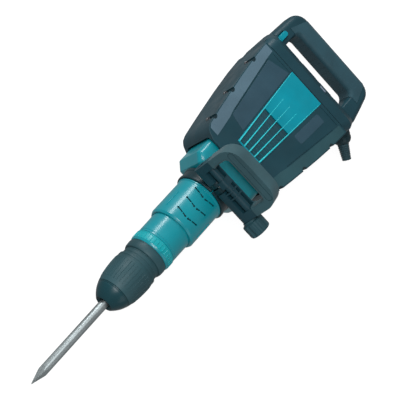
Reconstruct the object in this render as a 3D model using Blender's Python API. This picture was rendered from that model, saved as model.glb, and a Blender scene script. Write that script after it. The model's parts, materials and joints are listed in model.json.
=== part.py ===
"""Demolition hammer of the 12 kg class, lying on its wide lower cover.

Every shape is drawn in millimetres about the tool axis: X runs forward to the chisel, Y across the
rear handle and Z up. finish() lifts the shapes by AXIS_HEIGHT and turns them into metres, so that
the origin lies on the flat underside of the lower cover, straight below the tool axis.
"""
import math

import bmesh
import bpy
from mathutils import Matrix, Vector

# ---------------------------------------------------------------- driving dimensions (millimetres)
MM = 0.001
GAP = 0.3                    # room between pieces that meet
AXIS_HEIGHT = 60.0           # tool axis above the surface that the lower cover lies on
NOSE_X = 487.0               # front face of the nose cap
BIT_RADIUS = 9.0
BIT_TIP_X = 683.0
BIT_REAR_X = 380.0
POINT_LENGTH = 42.0
BORE_RADIUS = BIT_RADIUS + GAP
BIT_TRAVEL = 12.0

ROLLER_RADIUS = 3.5
ROLLER_CENTRE = 11.2         # distance of a locking roller from the tool axis
ROLLER_X = (430.0, 442.0)

RING_X = (338.0, 377.0)      # bit angle ring with its dark front flange
FRONT_BARREL_X = (276.0, 350.0)
SLEEVE_X = (173.0, 290.0)
SLEEVE_RADIUS = 49.0
SLIT_STATIONS = (215.5, 241.5, 268.5)
SLIT_SLOPE = math.radians(15)
CYLINDER_X = (128.0, 300.0)
CYLINDER_BORE = 24.0
CYLINDER_RADIUS = 27.0

CRANK_X = 85.0
CRANK_THROW = 14.0
ROD_LENGTH = 70.0
WRIST_X = CRANK_X + CRANK_THROW + ROD_LENGTH
DRIVE_MODULE = 2.25
DRIVE_TEETH = (33, 14)
MOTOR_MODULE = 1.75
MOTOR_TEETH = (36, 9)
COUNTERSHAFT_X = CRANK_X - DRIVE_MODULE * sum(DRIVE_TEETH) / 2
MOTOR_X = COUNTERSHAFT_X - MOTOR_MODULE * sum(MOTOR_TEETH) / 2
INNER_PLATE_Y = (18.0, 26.0)
OUTER_PLATE_Y = (57.0, 65.0)

CRANK_CASE_X = (20.0, 172.5)
CASE_HALF_WIDTH = 71.0
CASE_HALF_HEIGHT = 51.0
MOTOR_CASE_X = (-75.0, 19.7)
MOTOR_CASE_SIDE = -101.0

COVER_HALF_HEIGHT = 60.0
COVER_EDGE = 22.0            # rounding along the covers' long edges
WALL = 4.0
SEAM_X = -112.0              # joint between the covers and the rear handle
COVER_FRONT_X = 130.0
REAR_WALL_X = -163.0
HANDLE_REAR_X = -251.0
GRIP_X = -213.0              # front of the rear grip bar
HANDLE_HALF_HEIGHT = 24.0
LEVER_X = (-186.0, -150.0)
GRILLE_X = (-110.0, 88.0)
GRILLE_HALF_WIDTH = (44.0, 31.0)
GRILLE_GAPS = 4
FRONT_RIB_PITCH = 14.2
REAR_RIB_PITCH = 18.5
RIB_HALF_WIDTH = 1.4

BAND_X = (173.5, 201.0)
BOLT_X = 188.0
BOLT_Z = 69.0
SIDE_HANDLE_Y = (-53.0, 84.0)
SIDE_HANDLE_REACH = 77.0
SIDE_HANDLE_TILT = math.radians(22.5)

MATERIALS = {
    # name: (colour, roughness, metallic)
    "teal_paint": ((0.0, 0.28, 0.39), 0.3, 0.0),
    "dark_plastic": ((0.035, 0.08, 0.10), 0.5, 0.0),
    "soft_grip": ((0.06, 0.08, 0.085), 0.8, 0.0),
    "black_plastic": ((0.015, 0.02, 0.025), 0.45, 0.0),
    "steel": ((0.45, 0.45, 0.44), 0.35, 1.0),
    "dark_steel": ((0.12, 0.12, 0.13), 0.4, 1.0),
    "black_paint": ((0.02, 0.025, 0.03), 0.4, 0.0),
    "aluminium": ((0.6, 0.61, 0.62), 0.4, 1.0),
    "copper": ((0.55, 0.25, 0.12), 0.4, 1.0),
    "teal_plastic": ((0.0, 0.26, 0.36), 0.35, 0.0),
    "clear_lens": ((0.55, 0.6, 0.62), 0.15, 0.0),
}


# ---------------------------------------------------------------- scene and material helpers
def clear_scene():
    for leftover in list(bpy.data.objects):
        bpy.data.objects.remove(leftover, do_unlink=True)


def material(name):
    """Return the named Principled material, making it the first time."""
    if name in bpy.data.materials:
        return bpy.data.materials[name]
    colour, roughness, metallic = MATERIALS[name]
    made = bpy.data.materials.new(name)
    made.use_nodes = True
    shader = made.node_tree.nodes["Principled BSDF"]
    shader.inputs["Base Color"].default_value = (*colour, 1.0)
    shader.inputs["Roughness"].default_value = roughness
    shader.inputs["Metallic"].default_value = metallic
    made.diffuse_color = (*colour, 1.0)
    return made


def add_object(name, bm, origin):
    """Lift a bmesh to the axis height, centre it on its origin and make an object of it in metres."""
    bmesh.ops.remove_doubles(bm, verts=bm.verts, dist=0.001)
    bmesh.ops.recalc_face_normals(bm, faces=bm.faces)
    bmesh.ops.translate(bm, verts=bm.verts, vec=-Vector(origin))
    bmesh.ops.scale(bm, verts=bm.verts, vec=(MM, MM, MM))
    mesh = bpy.data.meshes.new(name)
    bm.to_mesh(mesh)
    bm.free()
    made = bpy.data.objects.new(name, mesh)
    made.location = (Vector(origin) + Vector((0, 0, AXIS_HEIGHT))) * MM
    bpy.context.scene.collection.objects.link(made)
    return made


def finish(name, bm, material_name, origin=(0, 0, 0), cutters=(), smooth=35):
    """Make a named sub-part, with its material and the cutters taken out of it."""
    part = add_object(name, bm, origin)
    part.data.materials.append(material(material_name))
    part.data.shade_smooth()
    part.data.set_sharp_from_angle(angle=math.radians(smooth))
    for tool in cutters:
        carve(part, tool)
    return part


def cutter(name, bm):
    """Make a hidden shape that other parts are cut by."""
    tool = add_object("cut_" + name, bm, (0, 0, 0))
    tool.hide_render = True
    tool.display_type = 'WIRE'
    return tool


def carve(part, tool, operation='DIFFERENCE'):
    change = part.modifiers.new(tool.name, 'BOOLEAN')
    change.operation = operation
    change.solver = 'EXACT'
    change.object = tool


# ---------------------------------------------------------------- shape helpers
def turned(profile, segments=24, axis='X', centre=(0, 0, 0)):
    """Turn a profile of (distance along the axis, radius) points into a solid of revolution."""
    bm = bmesh.new()
    points = [bm.verts.new((along, radius, 0)) for along, radius in profile]
    edges = [bm.edges.new(pair) for pair in zip(points, points[1:])]
    if profile[0][1] > 0 or profile[-1][1] > 0:
        edges.append(bm.edges.new((points[-1], points[0])))
    bmesh.ops.spin(bm, geom=points + edges, cent=(0, 0, 0), axis=(1, 0, 0), angle=math.tau,
                   steps=segments, use_merge=True)
    bmesh.ops.remove_doubles(bm, verts=bm.verts, dist=0.001)
    if axis == 'Y':
        bmesh.ops.rotate(bm, verts=bm.verts, matrix=Matrix.Rotation(math.radians(90), 3, 'Z'))
    if axis == 'Z':
        bmesh.ops.rotate(bm, verts=bm.verts, matrix=Matrix.Rotation(math.radians(-90), 3, 'Y'))
    bmesh.ops.translate(bm, verts=bm.verts, vec=centre)
    return bm


def rod(start, end, radius, segments=24, axis='X', centre=(0, 0, 0)):
    return turned([(start, 0), (start, radius), (end, radius), (end, 0)], segments, axis, centre)


def tube(start, end, inner, outer, segments=24, axis='X', centre=(0, 0, 0)):
    return turned([(start, inner), (start, outer), (end, outer), (end, inner)], segments, axis, centre)


def prism(outline, low, high, axis='Z'):
    """Extrude an outline along an axis: (x, y) along Z, (x, z) along Y, (y, z) along X."""
    place = {
        'Z': lambda u, v: (u, v, low),
        'Y': lambda u, v: (u, low, v),
        'X': lambda u, v: (low, u, v),
    }[axis]
    direction = {'Z': (0, 0, 1), 'Y': (0, 1, 0), 'X': (1, 0, 0)}[axis]
    bm = bmesh.new()
    face = bm.faces.new([bm.verts.new(place(u, v)) for u, v in outline])
    grown = bmesh.ops.extrude_face_region(bm, geom=[face], use_keep_orig=True)
    moved = [item for item in grown["geom"] if isinstance(item, bmesh.types.BMVert)]
    bmesh.ops.translate(bm, verts=moved, vec=Vector(direction) * (high - low))
    bmesh.ops.recalc_face_normals(bm, faces=bm.faces)
    return bm


def block(x, y, z, turn=None):
    """A box between the given pairs of X, Y and Z limits, turned about its own centre."""
    bm = bmesh.new()
    bmesh.ops.create_cube(bm, size=1)
    bmesh.ops.scale(bm, verts=bm.verts, vec=(x[1] - x[0], y[1] - y[0], z[1] - z[0]))
    if turn:
        bmesh.ops.rotate(bm, verts=bm.verts, matrix=turn)
    middle = (sum(x) / 2, sum(y) / 2, sum(z) / 2)
    bmesh.ops.translate(bm, verts=bm.verts, vec=middle)
    return bm


def joined(*shapes):
    """Put several separate shapes into one bmesh, for use as one cutter."""
    whole = bmesh.new()
    for shape in shapes:
        carrier = bpy.data.meshes.new("carrier")
        shape.to_mesh(carrier)
        shape.free()
        whole.from_mesh(carrier)
        bpy.data.meshes.remove(carrier)
    return whole


def arc(centre, radius, start, end, steps):
    """Points along an arc, angles in degrees."""
    turns = [math.radians(start + (end - start) * n / steps) for n in range(steps + 1)]
    return [(centre[0] + radius * math.cos(a), centre[1] + radius * math.sin(a)) for a in turns]


def rounded_box(u, v, radius, steps=4):
    """Outline of a rectangle with round corners."""
    points = []
    corners = ((1, 1, 0), (0, 1, 90), (0, 0, 180), (1, 0, 270))
    for right, top, start in corners:
        centre = (u[right] + (-radius if right else radius), v[top] + (-radius if top else radius))
        points += arc(centre, radius, start, start + 90, steps)
    return points


def bevel_where(bm, test, width, segments=2):
    """Round the edges whose middle point passes the test."""
    picked = [edge for edge in bm.edges if test((edge.verts[0].co + edge.verts[1].co) / 2)]
    bmesh.ops.bevel(bm, geom=picked, offset=width, offset_type='OFFSET', segments=segments,
                    profile=0.5, affect='EDGES', material=-1, clamp_overlap=True)
    return bm


def keep_side(bm, point, outward):
    """Cut a closed solid by a plane, drop what lies on the outward side and close the cut."""
    geometry = bm.verts[:] + bm.edges[:] + bm.faces[:]
    cut = bmesh.ops.bisect_plane(bm, geom=geometry, plane_co=point, plane_no=outward,
                                 clear_outer=True, dist=0.0001)
    rim = [item for item in cut["geom_cut"] if isinstance(item, bmesh.types.BMEdge)]
    bmesh.ops.contextual_create(bm, geom=rim)
    return bm


def gear(teeth, module, low, high, bore, centre, phase=0.0):
    """A spur gear about Y with straight-flanked teeth, slimmed for backlash."""
    pitch = module * teeth / 2
    outer = pitch + 0.8 * module
    root = pitch - 1.2 * module
    step = math.tau / teeth
    bm = bmesh.new()
    rim = []
    for tooth in range(teeth):
        middle = phase + tooth * step
        for offset, radius in ((-0.29, root), (-0.12, outer), (0.12, outer), (0.29, root)):
            angle = middle + offset * step
            rim.append(bm.verts.new((radius * math.cos(angle), low, radius * math.sin(angle))))
    hub_count = max(12, teeth)
    hub = []
    for n in range(hub_count):
        angle = phase + math.tau * n / hub_count
        hub.append(bm.verts.new((bore * math.cos(angle), low, bore * math.sin(angle))))
    loops = []
    for ring in (rim, hub):
        loops += [bm.edges.new((ring[n - 1], ring[n])) for n in range(len(ring))]
    bmesh.ops.bridge_loops(bm, edges=loops)
    grown = bmesh.ops.extrude_face_region(bm, geom=bm.faces[:], use_keep_orig=True)
    moved = [item for item in grown["geom"] if isinstance(item, bmesh.types.BMVert)]
    bmesh.ops.translate(bm, verts=moved, vec=(0, high - low, 0))
    bmesh.ops.translate(bm, verts=bm.verts, vec=centre)
    return bm


def coil_spring(name, x, radius, wire, turns, centre=(0, 0), material_name="dark_steel"):
    """A round-wire coil spring along X, as a bevelled curve."""
    steps = int(turns * 11)
    curve = bpy.data.curves.new(name, 'CURVE')
    curve.dimensions = '3D'
    curve.bevel_depth = wire * MM
    curve.bevel_resolution = 0
    curve.use_fill_caps = True
    spline = curve.splines.new('POLY')
    spline.points.add(steps)
    length = x[1] - x[0] - 2 * wire
    for n, point in enumerate(spline.points):
        angle = math.tau * turns * n / steps
        along = x[0] + wire + length * n / steps
        across = centre[0] + radius * math.cos(angle)
        up = AXIS_HEIGHT + centre[1] + radius * math.sin(angle)
        point.co = (along * MM, across * MM, up * MM, 1)
    made = bpy.data.objects.new(name, curve)
    curve.materials.append(material(material_name))
    bpy.context.scene.collection.objects.link(made)
    return made


# ---------------------------------------------------------------- chisel and tool holder
def build_chisel():
    shank = rod(BIT_REAR_X, BIT_TIP_X + 6, BIT_RADIUS, 20)
    half_angle = math.atan2(BIT_RADIUS, POINT_LENGTH)
    for side in range(4):
        around = Matrix.Rotation(math.radians(45 + 90 * side), 3, 'X')
        outward = around @ Vector((math.sin(half_angle), 0, math.cos(half_angle)))
        keep_side(shank, (BIT_TIP_X, 0, 0), outward)
    groove_x = (ROLLER_X[0] - BIT_TRAVEL - 1, ROLLER_X[1] + 1)
    floor = ROLLER_CENTRE - ROLLER_RADIUS - 0.5
    grooves = [block(groove_x, (-3.8, 3.8), sorted((side * floor, side * 12))) for side in (-1, 1)]
    slots = [block((BIT_REAR_X - 5, 425), sorted((side * 7.2, side * 12)), (-2, 2)) for side in (-1, 1)]
    tool = cutter("bit_grooves", joined(*grooves, *slots))
    finish("chisel_bit", shank, "steel", (BIT_REAR_X, 0, 0), [tool])


def build_tool_holder():
    profile = [
        (335, 16.5), (335, 21.0), (380, 21.0), (380, 28.0), (386, 28.0), (386, 15.0), (461, 15.0),
        (461, BORE_RADIUS), (355, BORE_RADIUS), (355, 16.5),
    ]
    window_x = (ROLLER_X[0] - 0.4, ROLLER_X[1] + 0.4)
    width = ROLLER_RADIUS + 0.4
    windows = [block(window_x, (-width, width), sorted((side * 6, side * 20))) for side in (-1, 1)]
    tool = cutter("roller_windows", joined(*windows))
    finish("tool_holder", turned(profile), "dark_steel", (400, 0, 0), [tool])

    cap = [
        (459.4, 15.5), (459.4, 35.4), (465, 33.6), (471, 30.8), (477, 27.2), (483, 22.8), (NOSE_X, 19.0),
        (NOSE_X, 10.5), (461.5, 10.5), (461.5, 15.5),
    ]
    finish("nose_cap", turned(cap), "black_plastic", (450, 0, 0))

    sleeve = [
        (364, 36.0), (364, 38.5), (402, 38.5), (402, 36.0), (379.7, 36.0), (379.7, 21.3),
        (376, 21.3), (376, 36.0),
    ]
    finish("neck_sleeve", turned(sleeve), "black_plastic", (380, 0, 0))


def build_release_cover():
    """Sleeve that is pulled back to free the rollers; its inner land holds them in."""
    land = ROLLER_CENTRE + ROLLER_RADIUS + 0.6
    profile = [
        (392, 39.0), (392, 41.4), (404, 42.2), (420, 42.0), (436, 40.6), (448, 38.6), (459, 36.0),
        (459, 17.6), (456, 17.6), (456, 32.6), (440, 36.0), (428, 36.8), (428, 20.0), (433, 20.0),
        (433, land + 0.8), (430, land), (424, land), (424, 36.8), (414, 37.4), (412, 39.0),
    ]
    finish("release_cover", turned(profile), "dark_plastic", (420, 0, 0))
    coil_spring("release_spring", (386.4, 423.7), 24.0, 1.5, 5)
    for name, side in (("lock_roller_top", 1), ("lock_roller_bottom", -1)):
        centre = (0, 0, side * ROLLER_CENTRE)
        finish(name, rod(*ROLLER_X, ROLLER_RADIUS, 12, centre=centre), "steel",
               (sum(ROLLER_X) / 2, 0, side * ROLLER_CENTRE))


def build_change_ring():
    profile = [
        (RING_X[0], 38.9), (RING_X[0], 44.0), (354, 44.0), (358.6, 42.2), (359.2, 40.8), (361, 40.8),
        (362.4, 42.4), (RING_X[1] - 2, 42.4), (RING_X[1], 41.0), (RING_X[1], 38.9),
    ]
    finish("change_ring", turned(profile), "teal_paint", (350, 0, 0))


# ---------------------------------------------------------------- striking mechanism
def build_impact_bolt():
    profile = [
        (292, 0), (292, 9.0), (293, 10.0), (318, 10.0), (318, 15.5), (338, 15.5), (341, 13.0),
        (341, 8.9), (378.5, 8.9), (379.5, 8.0), (379.5, 0),
    ]
    finish("impact_bolt", turned(profile, 24), "steel", (335, 0, 0))


def build_cylinder():
    finish("cylinder", tube(*CYLINDER_X, CYLINDER_BORE, CYLINDER_RADIUS), "steel", (200, 0, 0))
    radius = CYLINDER_BORE - 0.4
    striker = [
        (243, 0), (243, radius - 1), (244, radius), (283, radius), (287, 15), (291.6, 13), (291.6, 0),
    ]
    finish("striker", turned(striker), "steel", (265, 0, 0))
    piston = rod(WRIST_X - 12, WRIST_X + 43, radius)
    slot = cutter("piston_slot", block((WRIST_X - 20, WRIST_X + 12), (-6.5, 6.5), (-13, 13)))
    bore = cutter("wrist_bore", rod(-30, 30, 5.3, 16, 'Y', (WRIST_X, 0, 0)))
    finish("piston", piston, "aluminium", (WRIST_X, 0, 0), [slot, bore])
    finish("wrist_pin", rod(-21, 21, 5.0, 16, 'Y', (WRIST_X, 0, 0)), "steel", (WRIST_X, 0, 0))


def build_connecting_rod():
    big = (CRANK_X + CRANK_THROW, 0)
    small = (WRIST_X, 0)
    outline = arc(big, 11.5, 60, 300, 10) + arc(small, 9.5, -50, 50, 6)
    outline[11:11] = [(big[0] + 18, -6)]
    outline.append((big[0] + 18, 6))
    tools = [
        cutter("rod_big_eye", rod(-10, 10, 6.3, 16, 'Y', (big[0], 0, 0))),
        cutter("rod_small_eye", rod(-10, 10, 5.3, 16, 'Y', (small[0], 0, 0))),
    ]
    finish("connecting_rod", prism(outline, -5, 5, 'Y'), "dark_steel", (WRIST_X, 0, 0), tools)
    profile = [(-7, 0), (-7, 8.5), (-5.3, 8.5), (-5.3, 6), (5.5, 6), (5.5, 0)]
    finish("crank_pin", turned(profile, 16, 'Y', (big[0], 0, 0)), "steel", (big[0], 0, 0))


def build_crankshaft():
    centre = (CRANK_X, 0, 0)
    shaft = [
        (6, 0), (6, 26), (15, 26), (15, 11), (INNER_PLATE_Y[0] - 0.4, 11), (INNER_PLATE_Y[0] - 0.4, 9),
        (OUTER_PLATE_Y[1], 9), (OUTER_PLATE_Y[1], 0),
    ]
    finish("crankshaft", turned(shaft, 24, 'Y', centre), "dark_steel", centre)
    wheel = gear(DRIVE_TEETH[0], DRIVE_MODULE, 29, 41, 9.3, centre)
    finish("crank_gear", wheel, "steel", centre, smooth=20)
    for name, span in (("crank_bearing_inner", INNER_PLATE_Y), ("crank_bearing_outer", OUTER_PLATE_Y)):
        finish(name, tube(*span, 9.3, 15, 20, 'Y', centre), "steel", centre)


def build_countershaft():
    centre = (COUNTERSHAFT_X, 0, 0)
    bar = rod(INNER_PLATE_Y[0], OUTER_PLATE_Y[1], 6, 16, 'Y', centre)
    shaft = finish("countershaft", bar, "dark_steel", centre)
    pinion = gear(DRIVE_TEETH[1], DRIVE_MODULE, 28, 42, 4.0, centre)
    carve(shaft, cutter("drive_pinion", pinion), 'UNION')
    wheel = gear(MOTOR_TEETH[0], MOTOR_MODULE, 45, 54, 6.3, centre)
    finish("countershaft_gear", wheel, "steel", centre, smooth=20)


# ---------------------------------------------------------------- motor
def build_motor():
    centre = (MOTOR_X, 0, 0)
    shaft = finish("motor_shaft", rod(-97, 56, 4, 12, 'Y', centre), "steel", centre)
    pinion = gear(MOTOR_TEETH[1], MOTOR_MODULE, 44, 55, 3.0, centre, math.pi / MOTOR_TEETH[1])
    carve(shaft, cutter("motor_pinion", pinion), 'UNION')
    finish("armature_core", tube(-60, 0, 4.3, 27, 24, 'Y', centre), "dark_steel", centre)
    finish("commutator", tube(-84, -66, 4.3, 15, 20, 'Y', centre), "copper", centre)
    fan = [(6, 4.3), (6, 30), (7.5, 32), (14, 32), (14, 29), (9, 26), (9, 9), (15, 9), (15, 4.3)]
    finish("cooling_fan", turned(fan, 24, 'Y', centre), "aluminium", centre)
    finish("stator", tube(-62, 2, 28.5, 46, 24, 'Y', centre), "dark_steel", centre)
    for name, span in (("motor_bearing_front", INNER_PLATE_Y), ("motor_bearing_rear", (-97, -89))):
        finish(name, tube(*span, 4.3, 12, 16, 'Y', centre), "steel", centre)
    for name, side in (("brush_holder_top", 1), ("brush_holder_bottom", -1)):
        arm = block((MOTOR_X - 6, MOTOR_X + 6), (-82, -69), sorted((side * 15.6, side * 38)))
        finish(name, arm, "copper", centre)


def build_bearing_plates():
    """Two plates that carry the crankshaft, the countershaft and the front of the motor."""
    bores = [
        rod(10, 75, 15.4, 20, 'Y', (CRANK_X, 0, 0)),
        rod(10, 75, 6.4, 16, 'Y', (COUNTERSHAFT_X, 0, 0)),
        rod(10, 75, 12.4, 16, 'Y', (MOTOR_X, 0, 0)),
    ]
    tool = cutter("bearing_bores", joined(*bores))
    inner = rounded_box((MOTOR_X - 22, 112), (-38, 38), 14, 3)
    finish("bearing_plate_inner", prism(inner, *INNER_PLATE_Y, 'Y'), "aluminium", cutters=[tool])
    outer = rounded_box((24, 112), (-34, 34), 14, 3)
    finish("bearing_plate_outer", prism(outer, *OUTER_PLATE_Y, 'Y'), "aluminium", cutters=[tool])


# ---------------------------------------------------------------- barrel, crank case and motor case
def build_barrel():
    front = [
        (FRONT_BARREL_X[0], 27.4), (FRONT_BARREL_X[0], 32.0), (320, 32.0), (320, 38.0),
        (FRONT_BARREL_X[0], 38.0), (FRONT_BARREL_X[0], 45.0), (282.6, 45.0), (282.6, 42.9),
        (337.6, 42.9), (337.6, 38.2), (FRONT_BARREL_X[1], 38.2), (FRONT_BARREL_X[1], 21.4),
        (334.6, 21.4), (334.6, 16.5), (304, 16.5), (304, 10.5), (300.4, 10.5), (300.4, 27.4),
    ]
    finish("front_barrel", turned(front), "teal_paint", (300, 0, 0))
    sleeve = [
        (SLEEVE_X[0], 45.4), (SLEEVE_X[0], SLEEVE_RADIUS), (286, SLEEVE_RADIUS), (SLEEVE_X[1], 46.5),
        (SLEEVE_X[1], 43.3), (283, 43.3), (283, 45.4),
    ]
    slits = []
    for along in SLIT_STATIONS:
        for around, slope in ((-20, 1), (14, -1), (160, 1), (194, -1)):
            lean_over = Matrix.Rotation(-slope * SLIT_SLOPE, 3, 'Z')
            shape = block((along - 1.7, along + 1.7), (-11.5, 11.5), (40, 56), lean_over)
            turn = Matrix.Rotation(math.radians(-around), 3, 'X')
            bmesh.ops.rotate(shape, verts=shape.verts, matrix=turn)
            slits.append(shape)
    tool = cutter("vent_slits", joined(*slits))
    finish("barrel_sleeve", turned(sleeve), "teal_paint", (230, 0, 0), [tool])


def build_absorber():
    """Ring on two springs that swings against the stroke and takes the shake out."""
    finish("counterweight", tube(214, 234, 27.6, 44.2), "steel", (224, 0, 0))
    coil_spring("absorber_spring_front", (234.4, 275.6), 36.5, 2.0, 3.5)
    coil_spring("absorber_spring_rear", (172.9, 213.6), 36.5, 2.0, 3.5)


def build_crank_case():
    half = CASE_HALF_WIDTH
    back, front = CRANK_CASE_X
    outline = [
        (back, -half), (front - 15, -half), (front, -55), (front, 55), (front - 15, half), (back, half),
    ]
    case = prism(outline, -CASE_HALF_HEIGHT, CASE_HALF_HEIGHT)
    bevel_where(case, lambda p: abs(p.z) > CASE_HALF_HEIGHT - 1 and p.x > back + 1, 14, 2)
    inside = half - 5
    roof = CASE_HALF_HEIGHT - 5
    room = [(back - 5, inside), (front - 18, inside), (front - 6, 51)]
    room += [(x, -y) for x, y in reversed(room)]
    hollow = prism(room, -roof, roof)
    bevel_where(hollow, lambda p: abs(p.z) > roof - 1 and p.x > back, 9, 1)
    tools = [cutter("crank_chamber", hollow), cutter("cylinder_bore", rod(140, 190, 27.4))]
    finish("crank_case", case, "teal_paint", (100, 0, 0), tools)


def build_motor_case():
    back, front = MOTOR_CASE_X
    side = MOTOR_CASE_SIDE
    outline = [(back, side + 8), (back + 8, side), (front, side), (front, CASE_HALF_WIDTH),
               (back + 8, CASE_HALF_WIDTH), (back, CASE_HALF_WIDTH - 8)]
    case = prism(outline, -CASE_HALF_HEIGHT, CASE_HALF_HEIGHT)
    bevel_where(case, lambda p: abs(p.z) > CASE_HALF_HEIGHT - 1 and p.x < front - 1, 12, 1)
    roof = CASE_HALF_HEIGHT - WALL
    hollow = block((back + WALL, front + 5), (side + 12.5, CASE_HALF_WIDTH - WALL), (-roof, roof))
    bevel_where(hollow, lambda p: abs(p.z) > roof - 1 and p.x < front + 4, 11, 1)
    pocket = rod(side + 3.6, side + 20, 12.4, 16, 'Y', (MOTOR_X, 0, 0))
    tools = [cutter("motor_chamber", hollow), cutter("bearing_pocket", pocket)]
    finish("motor_case", case, "black_paint", (-30, 0, 0), tools)


# ---------------------------------------------------------------- covers and rear handle
COVER_SIDE = [(COVER_FRONT_X, 66), (118, 86), (105, 94), (55, 102.5), (-15, 113), (-70, 119.5)]
SEAM_HALF_WIDTH = 122.0


def cover_outline(inset=0.0, rear=SEAM_X):
    """Outline of the covers seen from above, drawn in by the inset."""
    side = [(x - inset, y - inset) for x, y in COVER_SIDE]
    side.append((rear, SEAM_HALF_WIDTH - inset))
    return side + [(x, -y) for x, y in reversed(side)]


def build_covers():
    inside = COVER_HALF_HEIGHT - WALL
    hollow = prism(cover_outline(WALL, SEAM_X - 10), -inside, inside)
    bevel_where(hollow, lambda p: abs(p.z) > inside - 1 and p.x > SEAM_X - 5, COVER_EDGE - WALL, 2)
    mouth = block((COVER_FRONT_X - 30, COVER_FRONT_X + 5), (-75, 75), (-54.5, 54.5))
    bevel_where(mouth, lambda p: abs(p.z) > 54 and abs(p.y) > 74, 14, 1)
    windows = [grille_outline_prism(0.0, side * 50, side * 66) for side in (-1, 1)]
    notches = []
    for x, y in ((88, 95.5), (20, 106), (-62, 117)):
        for side in (-1, 1):
            notches.append(rod(30, 66, 5.5, 8, 'Z', (x, side * y, 0)))
    tools = [
        cutter("cover_hollow", hollow),
        cutter("cover_mouth", mouth),
        cutter("grille_windows", joined(*windows)),
        cutter("screw_notches", joined(*notches)),
    ]
    for name, side in (("upper_cover", 1), ("lower_cover", -1)):
        shell = prism(cover_outline(), -COVER_HALF_HEIGHT, COVER_HALF_HEIGHT)
        bevel_where(shell, lambda p: abs(p.z) > COVER_HALF_HEIGHT - 1 and p.x > SEAM_X + 1, COVER_EDGE, 3)
        keep_side(shell, (0, 0, side * 0.2), (0, 0, -side))
        finish(name, shell, "dark_plastic", cutters=tools)


def grille_outline_prism(inset, low, high):
    back, front = GRILLE_X
    wide, narrow = GRILLE_HALF_WIDTH
    outline = [
        (back + inset, -wide + inset), (front - inset, -narrow + inset),
        (front - inset, narrow - inset), (back + inset, wide - inset),
    ]
    low, high = sorted((low, high))
    return prism(outline, low, high)


def air_gap(number, rear, side):
    """One of the four air gaps of a grille, from its rear end to its narrow front end."""
    front = GRILLE_X[1] - 4
    left = number - GRILLE_GAPS / 2
    right = left + 1
    rear_bar = RIB_HALF_WIDTH + 1.5
    outline = [
        (front, left * FRONT_RIB_PITCH + RIB_HALF_WIDTH), (front, right * FRONT_RIB_PITCH - RIB_HALF_WIDTH),
        (rear, right * REAR_RIB_PITCH - rear_bar), (rear, left * REAR_RIB_PITCH + rear_bar),
    ]
    low, high = sorted((side * 50, side * 66))
    return prism(outline, low, high)


def build_grilles():
    """Two teal panels with air gaps; the upper one stands proud and the lower one is solid at the origin."""
    for name, side, face, rear in (("upper_grille", 1, 60.6, -6), ("lower_grille", -1, 60.0, 14)):
        plate = grille_outline_prism(GAP, side * 56.2, side * face)
        gaps = [air_gap(number, rear, side) for number in range(GRILLE_GAPS)]
        tool = cutter(name + "_gaps", joined(*gaps))
        finish(name, plate, "teal_plastic", cutters=[tool])


def handle_block():
    """Part of the rear handle that closes the covers, sloping down to the finger gap."""
    wide = SEAM_HALF_WIDTH
    outline = [
        (SEAM_X - GAP, wide), (-138, wide + 8), (REAR_WALL_X, wide + 11), (REAR_WALL_X, -wide - 1),
        (-138, -wide - 1), (SEAM_X - GAP, -wide),
    ]
    shape = prism(outline, -COVER_HALF_HEIGHT, COVER_HALF_HEIGHT)
    for side in (-1, 1):
        keep_side(shape, (-134, 0, side * COVER_HALF_HEIGHT), Vector((-31, 0, side * 31)))
    front = SEAM_X - GAP - 1
    return bevel_where(shape, lambda p: abs(p.z) > 25 and abs(p.y) > 100 and p.x < front, COVER_EDGE, 3)


def handle_loop():
    """The D of the rear handle."""
    outline = [(-140, 129), (-172, 131), (-205, 124)]
    outline += arc((HANDLE_REAR_X + 29, 90), 29, 100, 180, 5)
    outline += arc((HANDLE_REAR_X + 30, -86), 30, 180, 265, 5)
    outline += [(-172, -119), (-140, -120)]
    loop = prism(outline, -HANDLE_HALF_HEIGHT, HANDLE_HALF_HEIGHT)
    bevel_where(loop, lambda p: abs(p.z) > HANDLE_HALF_HEIGHT - 1 and p.x < -141, 14, 3)
    return loop


def build_rear_handle():
    finger_gap = prism(rounded_box((GRIP_X, REAR_WALL_X + 0.5), (-82, 88), 14, 3), -70, 70)
    block_hollow = block((-156, SEAM_X - 4), (-116, 116), (-33, 33))
    lever_slot = prism(rounded_box((LEVER_X[0] - 0.5, LEVER_X[1] + 0.5), (-107, -94), 6.2, 3), -30, 52)
    dial_bore = rod(-170, -150, 12.5, 16, centre=(0, -20, 0))
    cable_port = rod(100, 150, 9, 12, 'Y', (-139, 0, 0))
    lens_turn = Matrix.Rotation(math.radians(-45), 3, 'Y')
    lens_pocket = block((-146, -136), (20, 36), (49, 55), lens_turn)
    wire_window = block((SEAM_X - 20, SEAM_X + 5), (-85, 85), (-30, 30))
    tools = [
        cutter("finger_gap", finger_gap),
        cutter("handle_hollow", block_hollow),
        cutter("lever_slot", lever_slot),
        cutter("handle_ports", joined(dial_bore, cable_port)),
        cutter("lens_pocket", lens_pocket),
        cutter("wire_window", wire_window),
    ]
    loop = cutter("handle_loop", handle_loop())
    for name, side in (("handle_upper", 1), ("handle_lower", -1)):
        frame = finish(name, handle_block(), "dark_plastic")
        carve(frame, loop, 'UNION')
        other_half = block((-270, -100), (-150, 150), sorted((side * 0.2, side * -70)))
        carve(frame, cutter(name + "_other_half", other_half))
        for tool in tools:
            carve(frame, tool)
    build_controls(lens_turn)


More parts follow.
